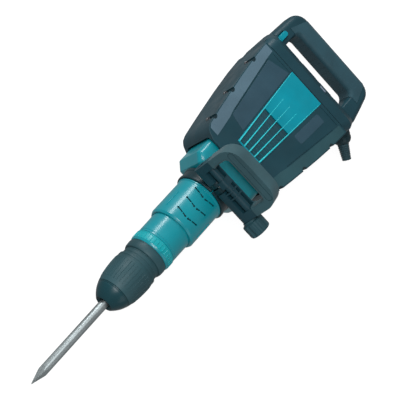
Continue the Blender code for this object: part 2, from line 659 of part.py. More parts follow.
def build_controls(lens_turn):
    rear, front = LEVER_X
    side = [(rear, -23), (rear, 30), (-164, 31), (front, 45), (front, -23)]
    outline = cutter("lever_outline", prism(rounded_box(LEVER_X, (-106.5, -94.5), 5.8, 3), -30, 60))
    lever = finish("switch_lever", prism(side, -110, -90, 'Y'), "teal_plastic", (-168, -100.5, 0))
    carve(lever, outline, 'INTERSECT')
    finish("switch_body", block((-148.5, -122), (-112, -62), (-16, 16)), "black_plastic")
    dial = [(-153, 0), (-153, 10), (-155, 12), (-165, 12), (-166.5, 10.5), (-166.5, 0)]
    finish("speed_dial", turned(dial, 16, centre=(0, -20, 0)), "black_plastic", (-160, -20, 0))
    finish("speed_controller", block((-150, -128), (-4, 56), (-18, 18)), "black_plastic")
    lens = block((-145.7, -136.3), (20.3, 35.7), (49.8, 54.4), lens_turn)
    finish("indicator_window", lens, "clear_lens")


def build_cord_exit():
    gland = turned([(0, 0), (0, 19), (17, 19.5), (23, 17), (28, 12.5), (28, 0)], 16)
    aim = Vector((0.42, 0.88, -0.22)).normalized()
    turn = Vector((1, 0, 0)).rotation_difference(aim).to_matrix()
    start = Vector((-141, 125, 0))
    bmesh.ops.rotate(gland, verts=gland.verts, matrix=turn)
    bmesh.ops.translate(gland, verts=gland.verts, vec=start)
    keep_side(gland, (-138, 131.7, 0), (-3, -25, 0))
    finish("cord_gland", gland, "black_plastic")
    boot = turned([(28.5, 4.2), (28.5, 12), (40, 11.4), (62, 9.5), (62, 4.2)], 16)
    bmesh.ops.rotate(boot, verts=boot.verts, matrix=turn)
    bmesh.ops.translate(boot, verts=boot.verts, vec=start)
    finish("cord_boot", boot, "black_plastic")


def build_damper():
    """Steel bracket that carries the rear handle, and the two springs that cushion it."""
    plate = prism(rounded_box((-106, 106), (-31, 31), 10, 2), SEAM_X - 9, SEAM_X - 5, 'X')
    window = cutter("bracket_window", block((SEAM_X - 15, SEAM_X), (-30, 30), (-18, 18)))
    finish("handle_bracket", plate, "dark_steel", cutters=[window])
    front = MOTOR_CASE_X[0] - 0.4
    for name, y in (("damper_spring_left", -60), ("damper_spring_right", 60)):
        coil_spring(name, (SEAM_X - 4.6, front), 9, 1.6, 4, (y, 0))


# ---------------------------------------------------------------- side handle
def build_clamp():
    band = tube(*BAND_X, SLEEVE_RADIUS + 0.6, 54)
    ear_side = arc((BOLT_X, BOLT_Z), 10, 180, 0, 6) + [(BOLT_X + 10, 46), (BOLT_X - 10, 46)]
    ear = prism(ear_side, -12, 12, 'Y')
    piece = finish("clamp_band", band, "black_plastic", (BOLT_X, 0, 0))
    carve(piece, cutter("clamp_ear", ear), 'UNION')
    inside = cutter("band_inside", rod(160, 215, SLEEVE_RADIUS + 0.6, 32))
    split = cutter("band_split", block((165, 210), (-1.5, 1.5), (40, BOLT_Z + 20)))
    bore = cutter("band_bolt_bore", rod(-30, 30, 4.4, 16, 'Y', (BOLT_X, 0, BOLT_Z)))
    for tool in (inside, split, bore):
        carve(piece, tool)
    low, high = SIDE_HANDLE_Y
    profile = [(low + 3, 0), (low + 3, 7), (low + 9, 7), (low + 9, 4), (high + 24, 4), (high + 24, 0)]
    bolt = turned(profile, 16, 'Y', (BOLT_X, 0, BOLT_Z))
    finish("handle_bolt", bolt, "steel", (BOLT_X, 0, BOLT_Z))


def lean(bm):
    """Lean a shape that was drawn upright over the clamp bolt back to the handle's rest angle."""
    bmesh.ops.rotate(bm, verts=bm.verts, cent=(BOLT_X, 0, BOLT_Z),
                     matrix=Matrix.Rotation(-SIDE_HANDLE_TILT, 3, 'Y'))
    return bm


def build_side_handle():
    low, high = SIDE_HANDLE_Y
    top = BOLT_Z + SIDE_HANDLE_REACH + 17
    bottom = BOLT_Z - 14
    outline = [(low, bottom), (high, bottom)]
    outline += arc((high - 34, top - 34), 34, 0, 90, 4) + arc((low + 34, top - 34), 34, 90, 180, 4)
    frame = prism(outline, BOLT_X - 14, BOLT_X + 14, 'X')
    bevel_where(frame, lambda p: abs(p.x - BOLT_X) > 13 and p.z < bottom + 1, 13, 3)
    bevel_where(frame, lambda p: abs(p.x - BOLT_X) > 13.5 and p.z > BOLT_Z + 5, 6, 2)
    gap = rounded_box((low + 16, high - 17), (BOLT_Z + 26, top - 27), 10, 3)
    mouth = prism(gap, BOLT_X - 30, BOLT_X + 30, 'X')
    front_notch = block((BOLT_X - 10.8, BOLT_X + 30), (-12.5, 12.5), (bottom - 10, BOLT_Z + 10.8))
    rear_notch = block((BOLT_X - 30, BOLT_X + 5), (-12.5, 12.5), (bottom - 10, BOLT_Z + 1))
    bore = rod(low + 5, high + 10, 4.5, 16, 'Y', (BOLT_X, 0, BOLT_Z))
    head = rod(low - 10, low + 9.6, 7.5, 16, 'Y', (BOLT_X, 0, BOLT_Z))
    tools = [
        cutter("side_gap", lean(mouth)),
        cutter("ear_front_notch", lean(front_notch)),
        cutter("ear_rear_notch", lean(rear_notch)),
        cutter("side_bolt_bore", bore),
        cutter("bolt_head_pocket", head),
    ]
    finish("side_handle", lean(frame), "soft_grip", (BOLT_X, 0, BOLT_Z), tools)


def build_clamp_nut():
    start = SIDE_HANDLE_Y[1] + 0.5
    flutes = 8
    steps = flutes * 4
    outline = []
    for n in range(steps):
        angle = math.tau * n / steps
        radius = 22 if n % 4 in (0, 1) else 19.8
        outline.append((BOLT_X + radius * math.cos(angle), BOLT_Z + radius * math.sin(angle)))
    knob = prism(outline, start, start + 33, 'Y')
    bevel_where(knob, lambda p: p.y > start + 32, 4, 1)
    bore = cutter("nut_bore", rod(start - 5, start + 25, 4.5, 16, 'Y', (BOLT_X, 0, BOLT_Z)))
    finish("clamp_nut", knob, "black_plastic", (BOLT_X, 0, BOLT_Z), [bore])


def main():
    clear_scene()
    build_chisel()
    build_tool_holder()
    build_release_cover()
    build_change_ring()
    build_impact_bolt()
    build_cylinder()
    build_connecting_rod()
    build_crankshaft()
    build_countershaft()
    build_motor()
    build_bearing_plates()
    build_barrel()
    build_absorber()
    build_crank_case()
    build_motor_case()
    build_covers()
    build_grilles()
    build_rear_handle()
    build_cord_exit()
    build_damper()
    build_clamp()
    build_side_handle()
    build_clamp_nut()


main()
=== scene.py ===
# %% [markdown]
# # The looks of a demolition hammer
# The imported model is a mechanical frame: right in size, but plain. This lesson dresses it. Each step makes
# one piece of the real tool, with its rounded edges, ribs and screws, and lets it ride on the body that it
# belongs to. The last steps set the floor, the lights and the camera.

# %% Load the frame
import json
import math

import bmesh
import bpy
from mathutils import Matrix, Vector


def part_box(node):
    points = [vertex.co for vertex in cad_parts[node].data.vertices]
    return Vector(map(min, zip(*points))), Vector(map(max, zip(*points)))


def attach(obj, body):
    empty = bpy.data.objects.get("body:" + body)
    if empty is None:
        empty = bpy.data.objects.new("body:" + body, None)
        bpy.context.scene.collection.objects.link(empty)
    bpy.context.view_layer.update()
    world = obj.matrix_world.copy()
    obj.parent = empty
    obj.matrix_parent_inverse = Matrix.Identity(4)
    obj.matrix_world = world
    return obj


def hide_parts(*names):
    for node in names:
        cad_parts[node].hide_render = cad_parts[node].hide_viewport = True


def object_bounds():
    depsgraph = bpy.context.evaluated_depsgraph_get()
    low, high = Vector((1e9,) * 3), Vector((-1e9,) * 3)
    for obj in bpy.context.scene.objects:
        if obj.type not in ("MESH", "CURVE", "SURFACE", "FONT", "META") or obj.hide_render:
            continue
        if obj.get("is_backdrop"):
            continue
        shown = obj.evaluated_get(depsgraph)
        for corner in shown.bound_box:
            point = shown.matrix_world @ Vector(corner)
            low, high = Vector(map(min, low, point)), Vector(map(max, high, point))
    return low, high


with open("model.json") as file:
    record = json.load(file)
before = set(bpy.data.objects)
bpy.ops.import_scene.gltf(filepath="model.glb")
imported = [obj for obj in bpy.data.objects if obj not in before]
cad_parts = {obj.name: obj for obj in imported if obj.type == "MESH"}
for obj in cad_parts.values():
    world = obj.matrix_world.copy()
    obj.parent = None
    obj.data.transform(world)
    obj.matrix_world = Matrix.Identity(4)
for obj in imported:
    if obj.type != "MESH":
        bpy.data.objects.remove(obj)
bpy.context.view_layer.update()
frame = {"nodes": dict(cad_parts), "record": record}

# %% [markdown]
# A power tool is drawn about its tool axis, because nearly everything is turned about it. So every shape
# below is in millimetres about that axis, and one function lifts it into place in metres. Lengths are read
# from the frame with span(), so that a piece always fits the part that it stands for.

# %% Units and places
MM = 0.001
bit_low, bit_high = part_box("chisel_bit")
AXIS_HEIGHT = (bit_low.z + bit_high.z) / 2


def span(node):
    """Limits of a frame node along X, Y and Z, in millimetres about the tool axis."""
    low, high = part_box(node)
    lift = Vector((0, 0, AXIS_HEIGHT))
    return [tuple(pair) for pair in zip((low - lift) / MM, (high - lift) / MM)]


def span_x(node):
    return span(node)[0]


print("tool axis", round(AXIS_HEIGHT / MM, 1), "mm up, bit from", [round(x) for x in span_x("chisel_bit")])

# %% [markdown]
# Three ways of making a shape cover the whole tool. A sleeve is turned: its profile is spun round the axis.
# A cover is extruded: its outline is a face that is pushed straight. A window is cut: a Boolean takes one
# solid out of another, and the result is read back as a mesh, so that no helper object stays behind. Where a
# hand goes through a hole, the cutter is lofted through rings that widen at both ends, which rounds the rim.

# %% Shape helpers
ROUND_STEPS = 96
FLIP = {
    "X": Matrix.Identity(3),
    "Y": Matrix.Rotation(math.radians(90), 3, "Z"),
    "Z": Matrix.Rotation(math.radians(-90), 3, "Y"),
}


def turned(profile, steps=ROUND_STEPS, axis="X", centre=(0, 0, 0)):
    """Spin a profile of (distance along the axis, radius) points into a closed solid."""
    bm = bmesh.new()
    points = [bm.verts.new((along, radius, 0)) for along, radius in profile]
    edges = [bm.edges.new(pair) for pair in zip(points, points[1:])]
    if profile[0][1] > 0 or profile[-1][1] > 0:
        edges.append(bm.edges.new((points[-1], points[0])))
    bmesh.ops.spin(bm, geom=points + edges, cent=(0, 0, 0), axis=(1, 0, 0), angle=math.tau,
                   steps=steps, use_merge=True)
    bmesh.ops.remove_doubles(bm, verts=bm.verts, dist=0.001)
    bmesh.ops.rotate(bm, verts=bm.verts, matrix=FLIP[axis])
    bmesh.ops.translate(bm, verts=bm.verts, vec=centre)
    bmesh.ops.recalc_face_normals(bm, faces=bm.faces)
    return bm


def rod(start, end, radius, steps=48, axis="X", centre=(0, 0, 0)):
    return turned([(start, 0), (start, radius), (end, radius), (end, 0)], steps, axis, centre)


def extruded(outline, low, high, axis="Z"):
    """Push an outline straight: (x, y) along Z, (x, z) along Y or (y, z) along X."""
    place = {
        "Z": lambda u, v: (u, v, low),
        "Y": lambda u, v: (u, low, v),
        "X": lambda u, v: (low, u, v),
    }[axis]
    direction = {"Z": (0, 0, 1), "Y": (0, 1, 0), "X": (1, 0, 0)}[axis]
    bm = bmesh.new()
    face = bm.faces.new([bm.verts.new(place(u, v)) for u, v in outline])
    grown = bmesh.ops.extrude_face_region(bm, geom=[face], use_keep_orig=True)
    moved = [item for item in grown["geom"] if isinstance(item, bmesh.types.BMVert)]
    bmesh.ops.translate(bm, verts=moved, vec=Vector(direction) * (high - low))
    bmesh.ops.recalc_face_normals(bm, faces=bm.faces)
    return bm


def block(x, y, z, turn=None):
    """A box between pairs of limits, turned about its own centre."""
    bm = bmesh.new()
    bmesh.ops.create_cube(bm, size=1)
    bmesh.ops.scale(bm, verts=bm.verts, vec=(x[1] - x[0], y[1] - y[0], z[1] - z[0]))
    if turn:
        bmesh.ops.rotate(bm, verts=bm.verts, matrix=turn)
    bmesh.ops.translate(bm, verts=bm.verts, vec=(sum(x) / 2, sum(y) / 2, sum(z) / 2))
    return bm


def joined(*shapes):
    """Put several shapes into one bmesh."""
    whole = bmesh.new()
    for shape in shapes:
        carrier = bpy.data.meshes.new("carrier")
        shape.to_mesh(carrier)
        shape.free()
        whole.from_mesh(carrier)
        bpy.data.meshes.remove(carrier)
    return whole


def arc(centre, radius, start, end, steps):
    """Points along an arc, with its angles in degrees."""
    turns = [math.radians(start + (end - start) * n / steps) for n in range(steps + 1)]
    return [(centre[0] + radius * math.cos(a), centre[1] + radius * math.sin(a)) for a in turns]


def rounded_box(u, v, radius, steps=8):
    """Outline of a rectangle with round corners."""
    points = []
    for right, top, start in ((1, 1, 0), (0, 1, 90), (0, 0, 180), (1, 0, 270)):
        centre = (u[right] + (-radius if right else radius), v[top] + (-radius if top else radius))
        points += arc(centre, radius, start, start + 90, steps)
    return points


def round_where(bm, test, width, segments):
    """Round the edges whose middle point passes the test."""
    picked = [edge for edge in bm.edges if test((edge.verts[0].co + edge.verts[1].co) / 2)]
    bmesh.ops.bevel(bm, geom=picked, offset=width, offset_type="OFFSET", segments=segments,
                    profile=0.5, affect="EDGES", material=-1, clamp_overlap=True)
    return bm


def keep_side(bm, point, outward):
    """Slice a closed solid by a plane, drop the outward side and close the cut."""
    geometry = bm.verts[:] + bm.edges[:] + bm.faces[:]
    cut = bmesh.ops.bisect_plane(bm, geom=geometry, plane_co=point, plane_no=outward,
                                 clear_outer=True, dist=0.0001)
    rim = [item for item in cut["geom_cut"] if isinstance(item, bmesh.types.BMEdge) and item.is_boundary]
    bmesh.ops.edgeloop_fill(bm, edges=rim)
    bmesh.ops.recalc_face_normals(bm, faces=bm.faces)
    return bm


def bow(start, pull, end, steps=10):
    """Points on the curve that leaves start towards pull and arrives at end from it."""
    points = []
    for n in range(steps + 1):
        t = n / steps
        weights = ((1 - t) ** 2, 2 * t * (1 - t), t * t)
        points.append(tuple(sum(w * p[k] for w, p in zip(weights, (start, pull, end))) for k in (0, 1)))
    return points


def lofted(rings):
    """A closed solid through rings of points, each ring with the same number of them."""
    bm = bmesh.new()
    rows = [[bm.verts.new(point) for point in ring] for ring in rings]
    for row, following in zip(rows, rows[1:]):
        for n in range(len(row)):
            bm.faces.new((row[n - 1], row[n], following[n], following[n - 1]))
    bm.faces.new(rows[0])
    bm.faces.new(rows[-1])
    bmesh.ops.recalc_face_normals(bm, faces=bm.faces)
    return bm


def flared_hole(outline, half, flare, reach, place):
    """A cutter that widens towards both faces of a bar, so that the rim of the hole comes out round.

    outline(offset) gives the hole grown by an offset, and place(u, v, depth) puts a point of it.
    """
    levels = [(reach, flare)]
    for angle in range(90, -1, -15):
        turn = math.radians(angle)
        levels.append((half - flare + flare * math.sin(turn), flare * (1 - math.cos(turn))))
    levels += [(-depth, offset) for depth, offset in reversed(levels)]
    return lofted([[place(u, v, depth) for u, v in outline(offset)] for depth, offset in levels])


def working_object(bm):
    mesh = bpy.data.meshes.new("working")
    bm.to_mesh(mesh)
    bm.free()
    made = bpy.data.objects.new("working", mesh)
    bpy.context.scene.collection.objects.link(made)
    return made


def combined(bm, tools, operation="DIFFERENCE"):
    """Take the closed tools out of bm, or add them to it, and return the result as a new bmesh."""
    body = working_object(bm)
    helpers = [working_object(tool) for tool in tools]
    for helper in helpers:
        change = body.modifiers.new("shape", "BOOLEAN")
        change.operation = operation
        change.solver = "EXACT"
        change.object = helper
    bpy.context.view_layer.update()
    shaped = body.evaluated_get(bpy.context.evaluated_depsgraph_get())
    result = bmesh.new()
    result.from_mesh(shaped.to_mesh())
    for used in [body, *helpers]:
        mesh = used.data
        bpy.data.objects.remove(used)
        bpy.data.meshes.remove(mesh)
    return result


# %% [markdown]
# piece() turns a drawn shape into a finished object. It merges doubled points, turns every face outwards,
# lifts the shape into place and puts it on its body. Moulded and cast parts have no knife edges, so most
# pieces get a fine Bevel. Weighted normals then keep the large faces flat beside it.

# %% From a shape to a piece
SHARP_ANGLE = math.radians(32)


def piece(name, bm, body, finish, stands_for=(), soften=0.0):
    """Make the shape a piece that rides on a body, with its edges softened by so many millimetres."""
    bmesh.ops.remove_doubles(bm, verts=bm.verts, dist=0.002)
    bmesh.ops.dissolve_degenerate(bm, edges=bm.edges, dist=0.002)
    bmesh.ops.recalc_face_normals(bm, faces=bm.faces)
    bmesh.ops.scale(bm, verts=bm.verts, vec=(MM, MM, MM))
    bmesh.ops.translate(bm, verts=bm.verts, vec=(0, 0, AXIS_HEIGHT))
    mesh = bpy.data.meshes.new(name)
    bm.to_mesh(mesh)
    bm.free()
    made = bpy.data.objects.new(name, mesh)
    bpy.context.scene.collection.objects.link(made)
    mesh.materials.append(finish)
    mesh.shade_smooth()
    if soften:
        edge = made.modifiers.new("soft edges", "BEVEL")
        edge.width = soften * MM
        edge.segments = 2
        edge.limit_method = "ANGLE"
        edge.angle_limit = SHARP_ANGLE
        shading = made.modifiers.new("flat faces", "WEIGHTED_NORMAL")
        shading.keep_sharp = True
    else:
        mesh.set_sharp_from_angle(angle=SHARP_ANGLE)
    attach(made, body)
    if stands_for:
        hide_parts(*stands_for)
    print(f"{name}: {len(mesh.polygons)} faces on {body}")
    return made


# %% [markdown]
# ## Finishes
# A finish is built from the same few layers each time: a colour that drifts a little, a roughness that is
# never quite even, and a bump at the size of the real grain. All of them read Object coordinates, which are
# metres here, so a noise scale of 1000 means grains a millimetre apart.

# %% Layers of a finish
class Finish:
    """A Principled material with short ways to lay noise on it."""

    def __init__(self, name, roughness, metallic=0.0):
        self.material = bpy.data.materials.new(name)
        self.material.use_nodes = True
        self.nodes = self.material.node_tree.nodes
        self.links = self.material.node_tree.links
        self.shader = self.nodes["Principled BSDF"]
        self.set("Roughness", roughness)
        self.set("Metallic", metallic)
        self.place = self.nodes.new("ShaderNodeTexCoord").outputs["Object"]

    def set(self, socket, value):
        self.shader.inputs[socket].default_value = value

    def stretched(self, scale):
        """Object coordinates pulled out along an axis, for brushed or drawn marks."""
        mapping = self.nodes.new("ShaderNodeMapping")
        mapping.inputs["Scale"].default_value = scale
        self.links.new(self.place, mapping.inputs["Vector"])
        return mapping.outputs["Vector"]

    def noise(self, scale, detail=3.0, place=None):
        texture = self.nodes.new("ShaderNodeTexNoise")
        texture.inputs["Scale"].default_value = scale
        texture.inputs["Detail"].default_value = detail
        self.links.new(place or self.place, texture.inputs["Vector"])
        return texture.outputs["Fac"]

    def pebbles(self, scale):
        texture = self.nodes.new("ShaderNodeTexVoronoi")
        texture.inputs["Scale"].default_value = scale
        self.links.new(self.place, texture.inputs["Vector"])
        return texture.outputs["Distance"]

    def ramp(self, value, low, high, dark, light):
        """Colours from dark to light while the value goes from low to high."""
        ramp = self.nodes.new("ShaderNodeValToRGB")
        first, last = ramp.color_ramp.elements
        first.position, last.position = low, high
        first.color, last.color = (*dark, 1.0), (*light, 1.0)
        self.links.new(value, ramp.inputs["Fac"])
        return ramp.outputs["Color"]

    def spread(self, value, low, high):
        """Numbers from low to high as noise goes from its darkest to its lightest."""
        change = self.nodes.new("ShaderNodeMapRange")
        change.inputs["From Min"].default_value = 0.3
        change.inputs["From Max"].default_value = 0.7
        change.inputs["To Min"].default_value = low
        change.inputs["To Max"].default_value = high
        self.links.new(value, change.inputs["Value"])
        return change.outputs["Result"]

    def over(self, below, above, mask):
        """Lay a plain colour over a varied one where the mask is light."""
        mix = self.nodes.new("ShaderNodeMix")
        mix.data_type = "RGBA"
        self.links.new(mask, mix.inputs["Factor"])
        self.links.new(below, mix.inputs[6])
        mix.inputs[7].default_value = (*above, 1.0)
        return mix.outputs[2]

    def colour(self, output):
        self.links.new(output, self.shader.inputs["Base Color"])

    def rough(self, output):
        self.links.new(output, self.shader.inputs["Roughness"])

    def bump(self, height, distance, strength=1.0, below=None):
        """Raise the surface by a height; distance is in millimetres."""
        bump = self.nodes.new("ShaderNodeBump")
        bump.inputs["Distance"].default_value = distance * MM
        bump.inputs["Strength"].default_value = strength
        self.links.new(height, bump.inputs["Height"])
        if below:
            self.links.new(below, bump.inputs["Normal"])
        self.links.new(bump.outputs["Normal"], self.shader.inputs["Normal"])
        return bump.outputs["Normal"]


def shade(colour, factor):
    return tuple(min(1.0, part * factor) for part in colour)


# %% [markdown]
# The barrels and the crank case are light castings under a thick gloss paint. Paint like that flows a little
# before it sets, so its skin has a faint orange-peel wave. A clear coat on the shader gives the second, sharper
# reflection, and sparse rubbed spots show a lighter tone.

# %% Gloss paint
TEAL = (0.0, 0.205, 0.25)


def gloss_paint(name, colour, roughness=0.32, coat=0.25):
    paint = Finish(name, roughness)
    drift = paint.ramp(paint.noise(9.0), 0.3, 0.7, shade(colour, 0.9), shade(colour, 1.08))
    rubbed = paint.ramp(paint.noise(240.0, 6.0), 0.68, 0.76, (0, 0, 0), (0.4, 0.4, 0.4))
    paint.colour(paint.over(drift, shade(colour, 1.5), rubbed))
    paint.rough(paint.spread(paint.noise(60.0, 4.0), roughness - 0.05, roughness + 0.08))
    paint.bump(paint.noise(420.0, 2.0), 0.04, 0.35)
    paint.set("Specular IOR Level", 0.35)
    paint.set("Coat Weight", coat)
    paint.set("Coat Roughness", 0.12)
    return paint.material


teal_paint = gloss_paint("teal_gloss_paint", TEAL)
ring_paint = gloss_paint("ring_teal", (0.001, 0.27, 0.305), 0.4, 0.08)
black_paint = gloss_paint("black_case_paint", (0.006, 0.014, 0.018), 0.4, 0.1)
print("made", teal_paint.name, ring_paint.name, black_paint.name)

# %% [markdown]
# The covers are glass-filled nylon from a spark-eroded mould. Its grain is a fine, even field of pebbles that
# breaks up every reflection. Handling polishes it in patches, which shows in the roughness more than in the
# colour, and dry dust stays in the low spots.

# %% Moulded plastic
SLATE = (0.008, 0.038, 0.052)


def moulded_plastic(name, colour, roughness, grain=900.0, depth=0.03, dust=0.25):
    plastic = Finish(name, roughness)
    drift = plastic.ramp(plastic.noise(14.0, 4.0), 0.3, 0.7, shade(colour, 0.86), shade(colour, 1.14))
    dusty = plastic.ramp(plastic.noise(700.0, 2.0), 0.55, 0.8, (0, 0, 0), (dust, dust, dust))
    plastic.colour(plastic.over(drift, shade(colour, 1.8), dusty))
    plastic.set("Specular IOR Level", 0.25)
    plastic.rough(plastic.spread(plastic.noise(35.0, 5.0), roughness - 0.07, roughness + 0.1))
    fine = plastic.bump(plastic.pebbles(grain), depth, 0.5)
    plastic.bump(plastic.noise(30.0, 1.0), 0.3, 0.12, fine)
    return plastic.material


slate_plastic = moulded_plastic("slate_plastic", SLATE, 0.42)
panel_plastic = moulded_plastic("panel_plastic", (0.022, 0.055, 0.078), 0.4, 1500.0, 0.02)
# The paler shoulder colour is a painted highlight: the light from the left shining on the rounded edge.
shoulder_highlight_plastic = moulded_plastic("shoulder_highlight_plastic", (0.070, 0.122, 0.158), 0.3, 1500.0, 0.015)
black_plastic = moulded_plastic("black_plastic", (0.006, 0.024, 0.031), 0.32, 1300.0, 0.02)
knob_plastic = moulded_plastic("knob_plastic", (0.018, 0.058, 0.072), 0.4, 1300.0, 0.02)
nose_plastic = moulded_plastic("nose_plastic", (0.006, 0.036, 0.046), 0.26, 2000.0, 0.01, 0.1)
sleeve_plastic = moulded_plastic("sleeve_plastic", (0.018, 0.058, 0.070), 0.45, 1100.0, 0.03)
teal_plastic = moulded_plastic("teal_plastic", (0.0, 0.205, 0.27), 0.36, 1600.0, 0.012, 0.08)
rib_plastic = moulded_plastic("rib_plastic", (0.03, 0.47, 0.52), 0.3, 1800.0, 0.01, 0.05)
louvre_plastic = moulded_plastic("louvre_plastic", (0.001, 0.06, 0.085), 0.4, 1600.0, 0.012, 0.08)
print("made ten moulded plastics")

# %% [markdown]
# The grips are overmoulded with soft rubber. Rubber is matt and slightly velvety, so it has a little sheen
# and a coarser stipple than the hard plastic beside it.

# %% Soft rubber
def soft_rubber(name, colour):
    rubber = Finish(name, 0.7)
    drift = rubber.ramp(rubber.noise(20.0, 4.0), 0.3, 0.7, shade(colour, 0.85), shade(colour, 1.15))
    worn = rubber.ramp(rubber.noise(160.0, 5.0), 0.6, 0.8, (0, 0, 0), (0.3, 0.3, 0.3))
    rubber.colour(rubber.over(drift, shade(colour, 1.6), worn))
    rubber.set("Specular IOR Level", 0.3)
    rubber.rough(rubber.spread(rubber.noise(50.0, 4.0), 0.6, 0.8))
    rubber.bump(rubber.pebbles(620.0), 0.06, 0.6)
    rubber.set("Sheen Weight", 0.08)
    rubber.set("Sheen Roughness", 0.5)
    return rubber.material


grip_rubber = soft_rubber("grip_rubber", (0.012, 0.050, 0.068))
side_rubber = soft_rubber("side_grip_rubber", (0.022, 0.066, 0.080))
boot_rubber = soft_rubber("boot_rubber", (0.016, 0.050, 0.064))
print("made three rubbers")

# %% [markdown]
# Metals differ by how they were worked. Ground and turned steel has fine marks along one direction, which is
# a noise squeezed across it. Cast alloy has a dull sand skin, and blackened steel is dark with lighter rubs.

# %% Metals
def ground_steel(name, colour, roughness, squeeze=(6.0, 900.0, 900.0), scratched=0.35):
    steel = Finish(name, roughness, 1.0)
    marks = steel.noise(1.0, 6.0, steel.stretched(squeeze))
    drift = steel.noise(18.0, 4.0)
    tone = steel.ramp(drift, 0.3, 0.7, shade(colour, 0.82), shade(colour, 1.12))
    scratch = steel.ramp(marks, 0.45, 0.75, (0, 0, 0), (scratched, scratched, scratched))
    steel.colour(steel.over(tone, shade(colour, 1.4), scratch))
    steel.rough(steel.spread(marks, roughness - 0.08, roughness + 0.14))
    steel.bump(marks, 0.02, 0.4 * scratched)
    return steel.material


def cast_alloy(name, colour):
    alloy = Finish(name, 0.5, 1.0)
    alloy.colour(alloy.ramp(alloy.noise(30.0, 5.0), 0.3, 0.7, shade(colour, 0.8), shade(colour, 1.1)))
    alloy.rough(alloy.spread(alloy.noise(90.0, 4.0), 0.42, 0.6))
    alloy.bump(alloy.noise(500.0, 4.0), 0.12, 0.6)
    return alloy.material


def copper_bars(name):
    """Commutator and brush copper: bars that have darkened between bright runs."""
    copper = Finish(name, 0.35, 1.0)
    runs = copper.noise(1.0, 4.0, copper.stretched((500.0, 12.0, 500.0)))
    copper.colour(copper.ramp(runs, 0.35, 0.65, (0.24, 0.09, 0.04), (0.66, 0.3, 0.15)))
    copper.rough(copper.spread(runs, 0.28, 0.5))
    copper.bump(runs, 0.05, 0.4)
    return copper.material


bit_steel = ground_steel("bit_steel", (0.33, 0.375, 0.385), 0.42, squeeze=(4.0, 500.0, 500.0), scratched=0.12)
machine_steel = ground_steel("machine_steel", (0.52, 0.52, 0.51), 0.28, (700.0, 700.0, 20.0))
dark_steel = ground_steel("dark_steel", (0.11, 0.115, 0.12), 0.38)
screw_steel = ground_steel("screw_steel", (0.16, 0.17, 0.18), 0.34, (900.0, 900.0, 900.0))
bare_alloy = cast_alloy("bare_alloy", (0.6, 0.61, 0.62))
copper = copper_bars("bar_copper")
print("made six metals")

# %% [markdown]
# The lamp window is a smoked lens: smooth, a little see-through in look, with a faint moulded ripple.

# %% Lens
def smoked_lens():
    lens = Finish("smoked_lens", 0.12)
    lens.colour(lens.ramp(lens.noise(60.0), 0.3, 0.7, (0.14, 0.19, 0.25), (0.19, 0.24, 0.31)))
    lens.bump(lens.noise(200.0, 1.0), 0.05, 0.3)
    lens.set("Coat Weight", 0.6)
    lens.set("Coat Roughness", 0.05)
    return lens.material


lens_plastic = smoked_lens()

# %% [markdown]
# Frame nodes whose shape is already right, such as the gears, shafts and springs inside, stay as they are.
# They only change their plain slot colour for a finish, one for each material slot in the record.

# %% Finishes for the carried-over nodes
SLOT_FINISH = {
    "chisel_steel": bit_steel,
    "machine_steel": machine_steel,
    "dark_steel": dark_steel,
    "teal_casting": teal_paint,
    "black_casting": black_paint,
    "bare_aluminium": bare_alloy,
    "copper": copper,
    "dark_plastic": slate_plastic,
    "black_plastic": black_plastic,
    "teal_plastic": teal_plastic,
    "soft_grip": side_rubber,
    "lens": lens_plastic,
}
for row in frame["record"]["subparts"]:
    node = frame["nodes"][row["node"]]
    for place in node.material_slots:
        place.material = SLOT_FINISH[row["material_slot"]]

# %% [markdown]
# ## The working end
# The bit is a forged bar, ground round and drawn to a four-sided point. Slicing the turned bar with four
# leaning planes gives the point its flat faces and the curved edge where each face runs out on the bar. The
# very tip is blunted, because a knife-sharp tip would chip on the first blow.

# %% Chisel
BIT_REAR, BIT_TIP = span_x("chisel_bit")
BIT_RADIUS = (span("chisel_bit")[1][1] - span("chisel_bit")[1][0]) / 2
POINT_LENGTH = 42.0

bar = turned([
    (BIT_REAR, 0), (BIT_REAR, BIT_RADIUS - 1.5), (BIT_REAR + 1.5, BIT_RADIUS), (476, BIT_RADIUS),
    (477, BIT_RADIUS - 0.25), (490, BIT_RADIUS - 0.25), (491, BIT_RADIUS), (BIT_TIP + 6, BIT_RADIUS),
    (BIT_TIP + 6, 0),
])
half_angle = math.atan2(BIT_RADIUS, POINT_LENGTH)
for side in range(4):
    around = Matrix.Rotation(math.radians(45 + 90 * side), 3, "X")
    keep_side(bar, (BIT_TIP + 2, 0, 0), around @ Vector((math.sin(half_angle), 0, math.cos(half_angle))))
keep_side(bar, (BIT_TIP, 0, 0), (1, 0, 0))
piece("chisel_bar", bar, "chisel", bit_steel, ["chisel_bit"], 0.25)

# %% [markdown]
# The nose cap is a glossy rubber-faced cup that keeps dust out. It is turned from one profile: a bead where it
# meets the release sleeve, a long bowed cone, and a thick lip round the bore.

# %% Nose cap
cap_rear, nose = span_x("nose_cap")
cap_profile = [(cap_rear, 15.5), (cap_rear, 34.9), (cap_rear + 0.5, 35.4), (cap_rear + 2.0, 35.1)]
cap_profile += [(cap_rear + 2.6, 34.3), (cap_rear + 3.4, 34.1)]
cap_profile += bow((cap_rear + 4.2, 34.0), (nose - 12, 30.0), (nose - 0.6, 18.8), 12)
cap_profile += [(nose, 17.6), (nose - 0.6, 16.8), (nose - 2.6, 15.6), (nose - 3.6, 14.6)]
cap_profile += [(nose - 3.6, 12.4), (nose - 2.8, 11.4), (nose - 4.0, 10.8), (461.5, 10.8), (461.5, 15.5)]
piece("nose_cup", turned(cap_profile), "holder", nose_plastic, ["nose_cap"])

# %% [markdown]
# The release sleeve is what the hand pulls back to free the bit. It is shaped like a bullet, and fine ribs
# run along it for grip. The ribs are strips of the turned skin: every third strip is inset and raised, so a
# rib follows the curve of the sleeve by itself.

# %% Release sleeve
sleeve_rear, sleeve_front = span_x("release_cover")
RIB_STRIPS = 144


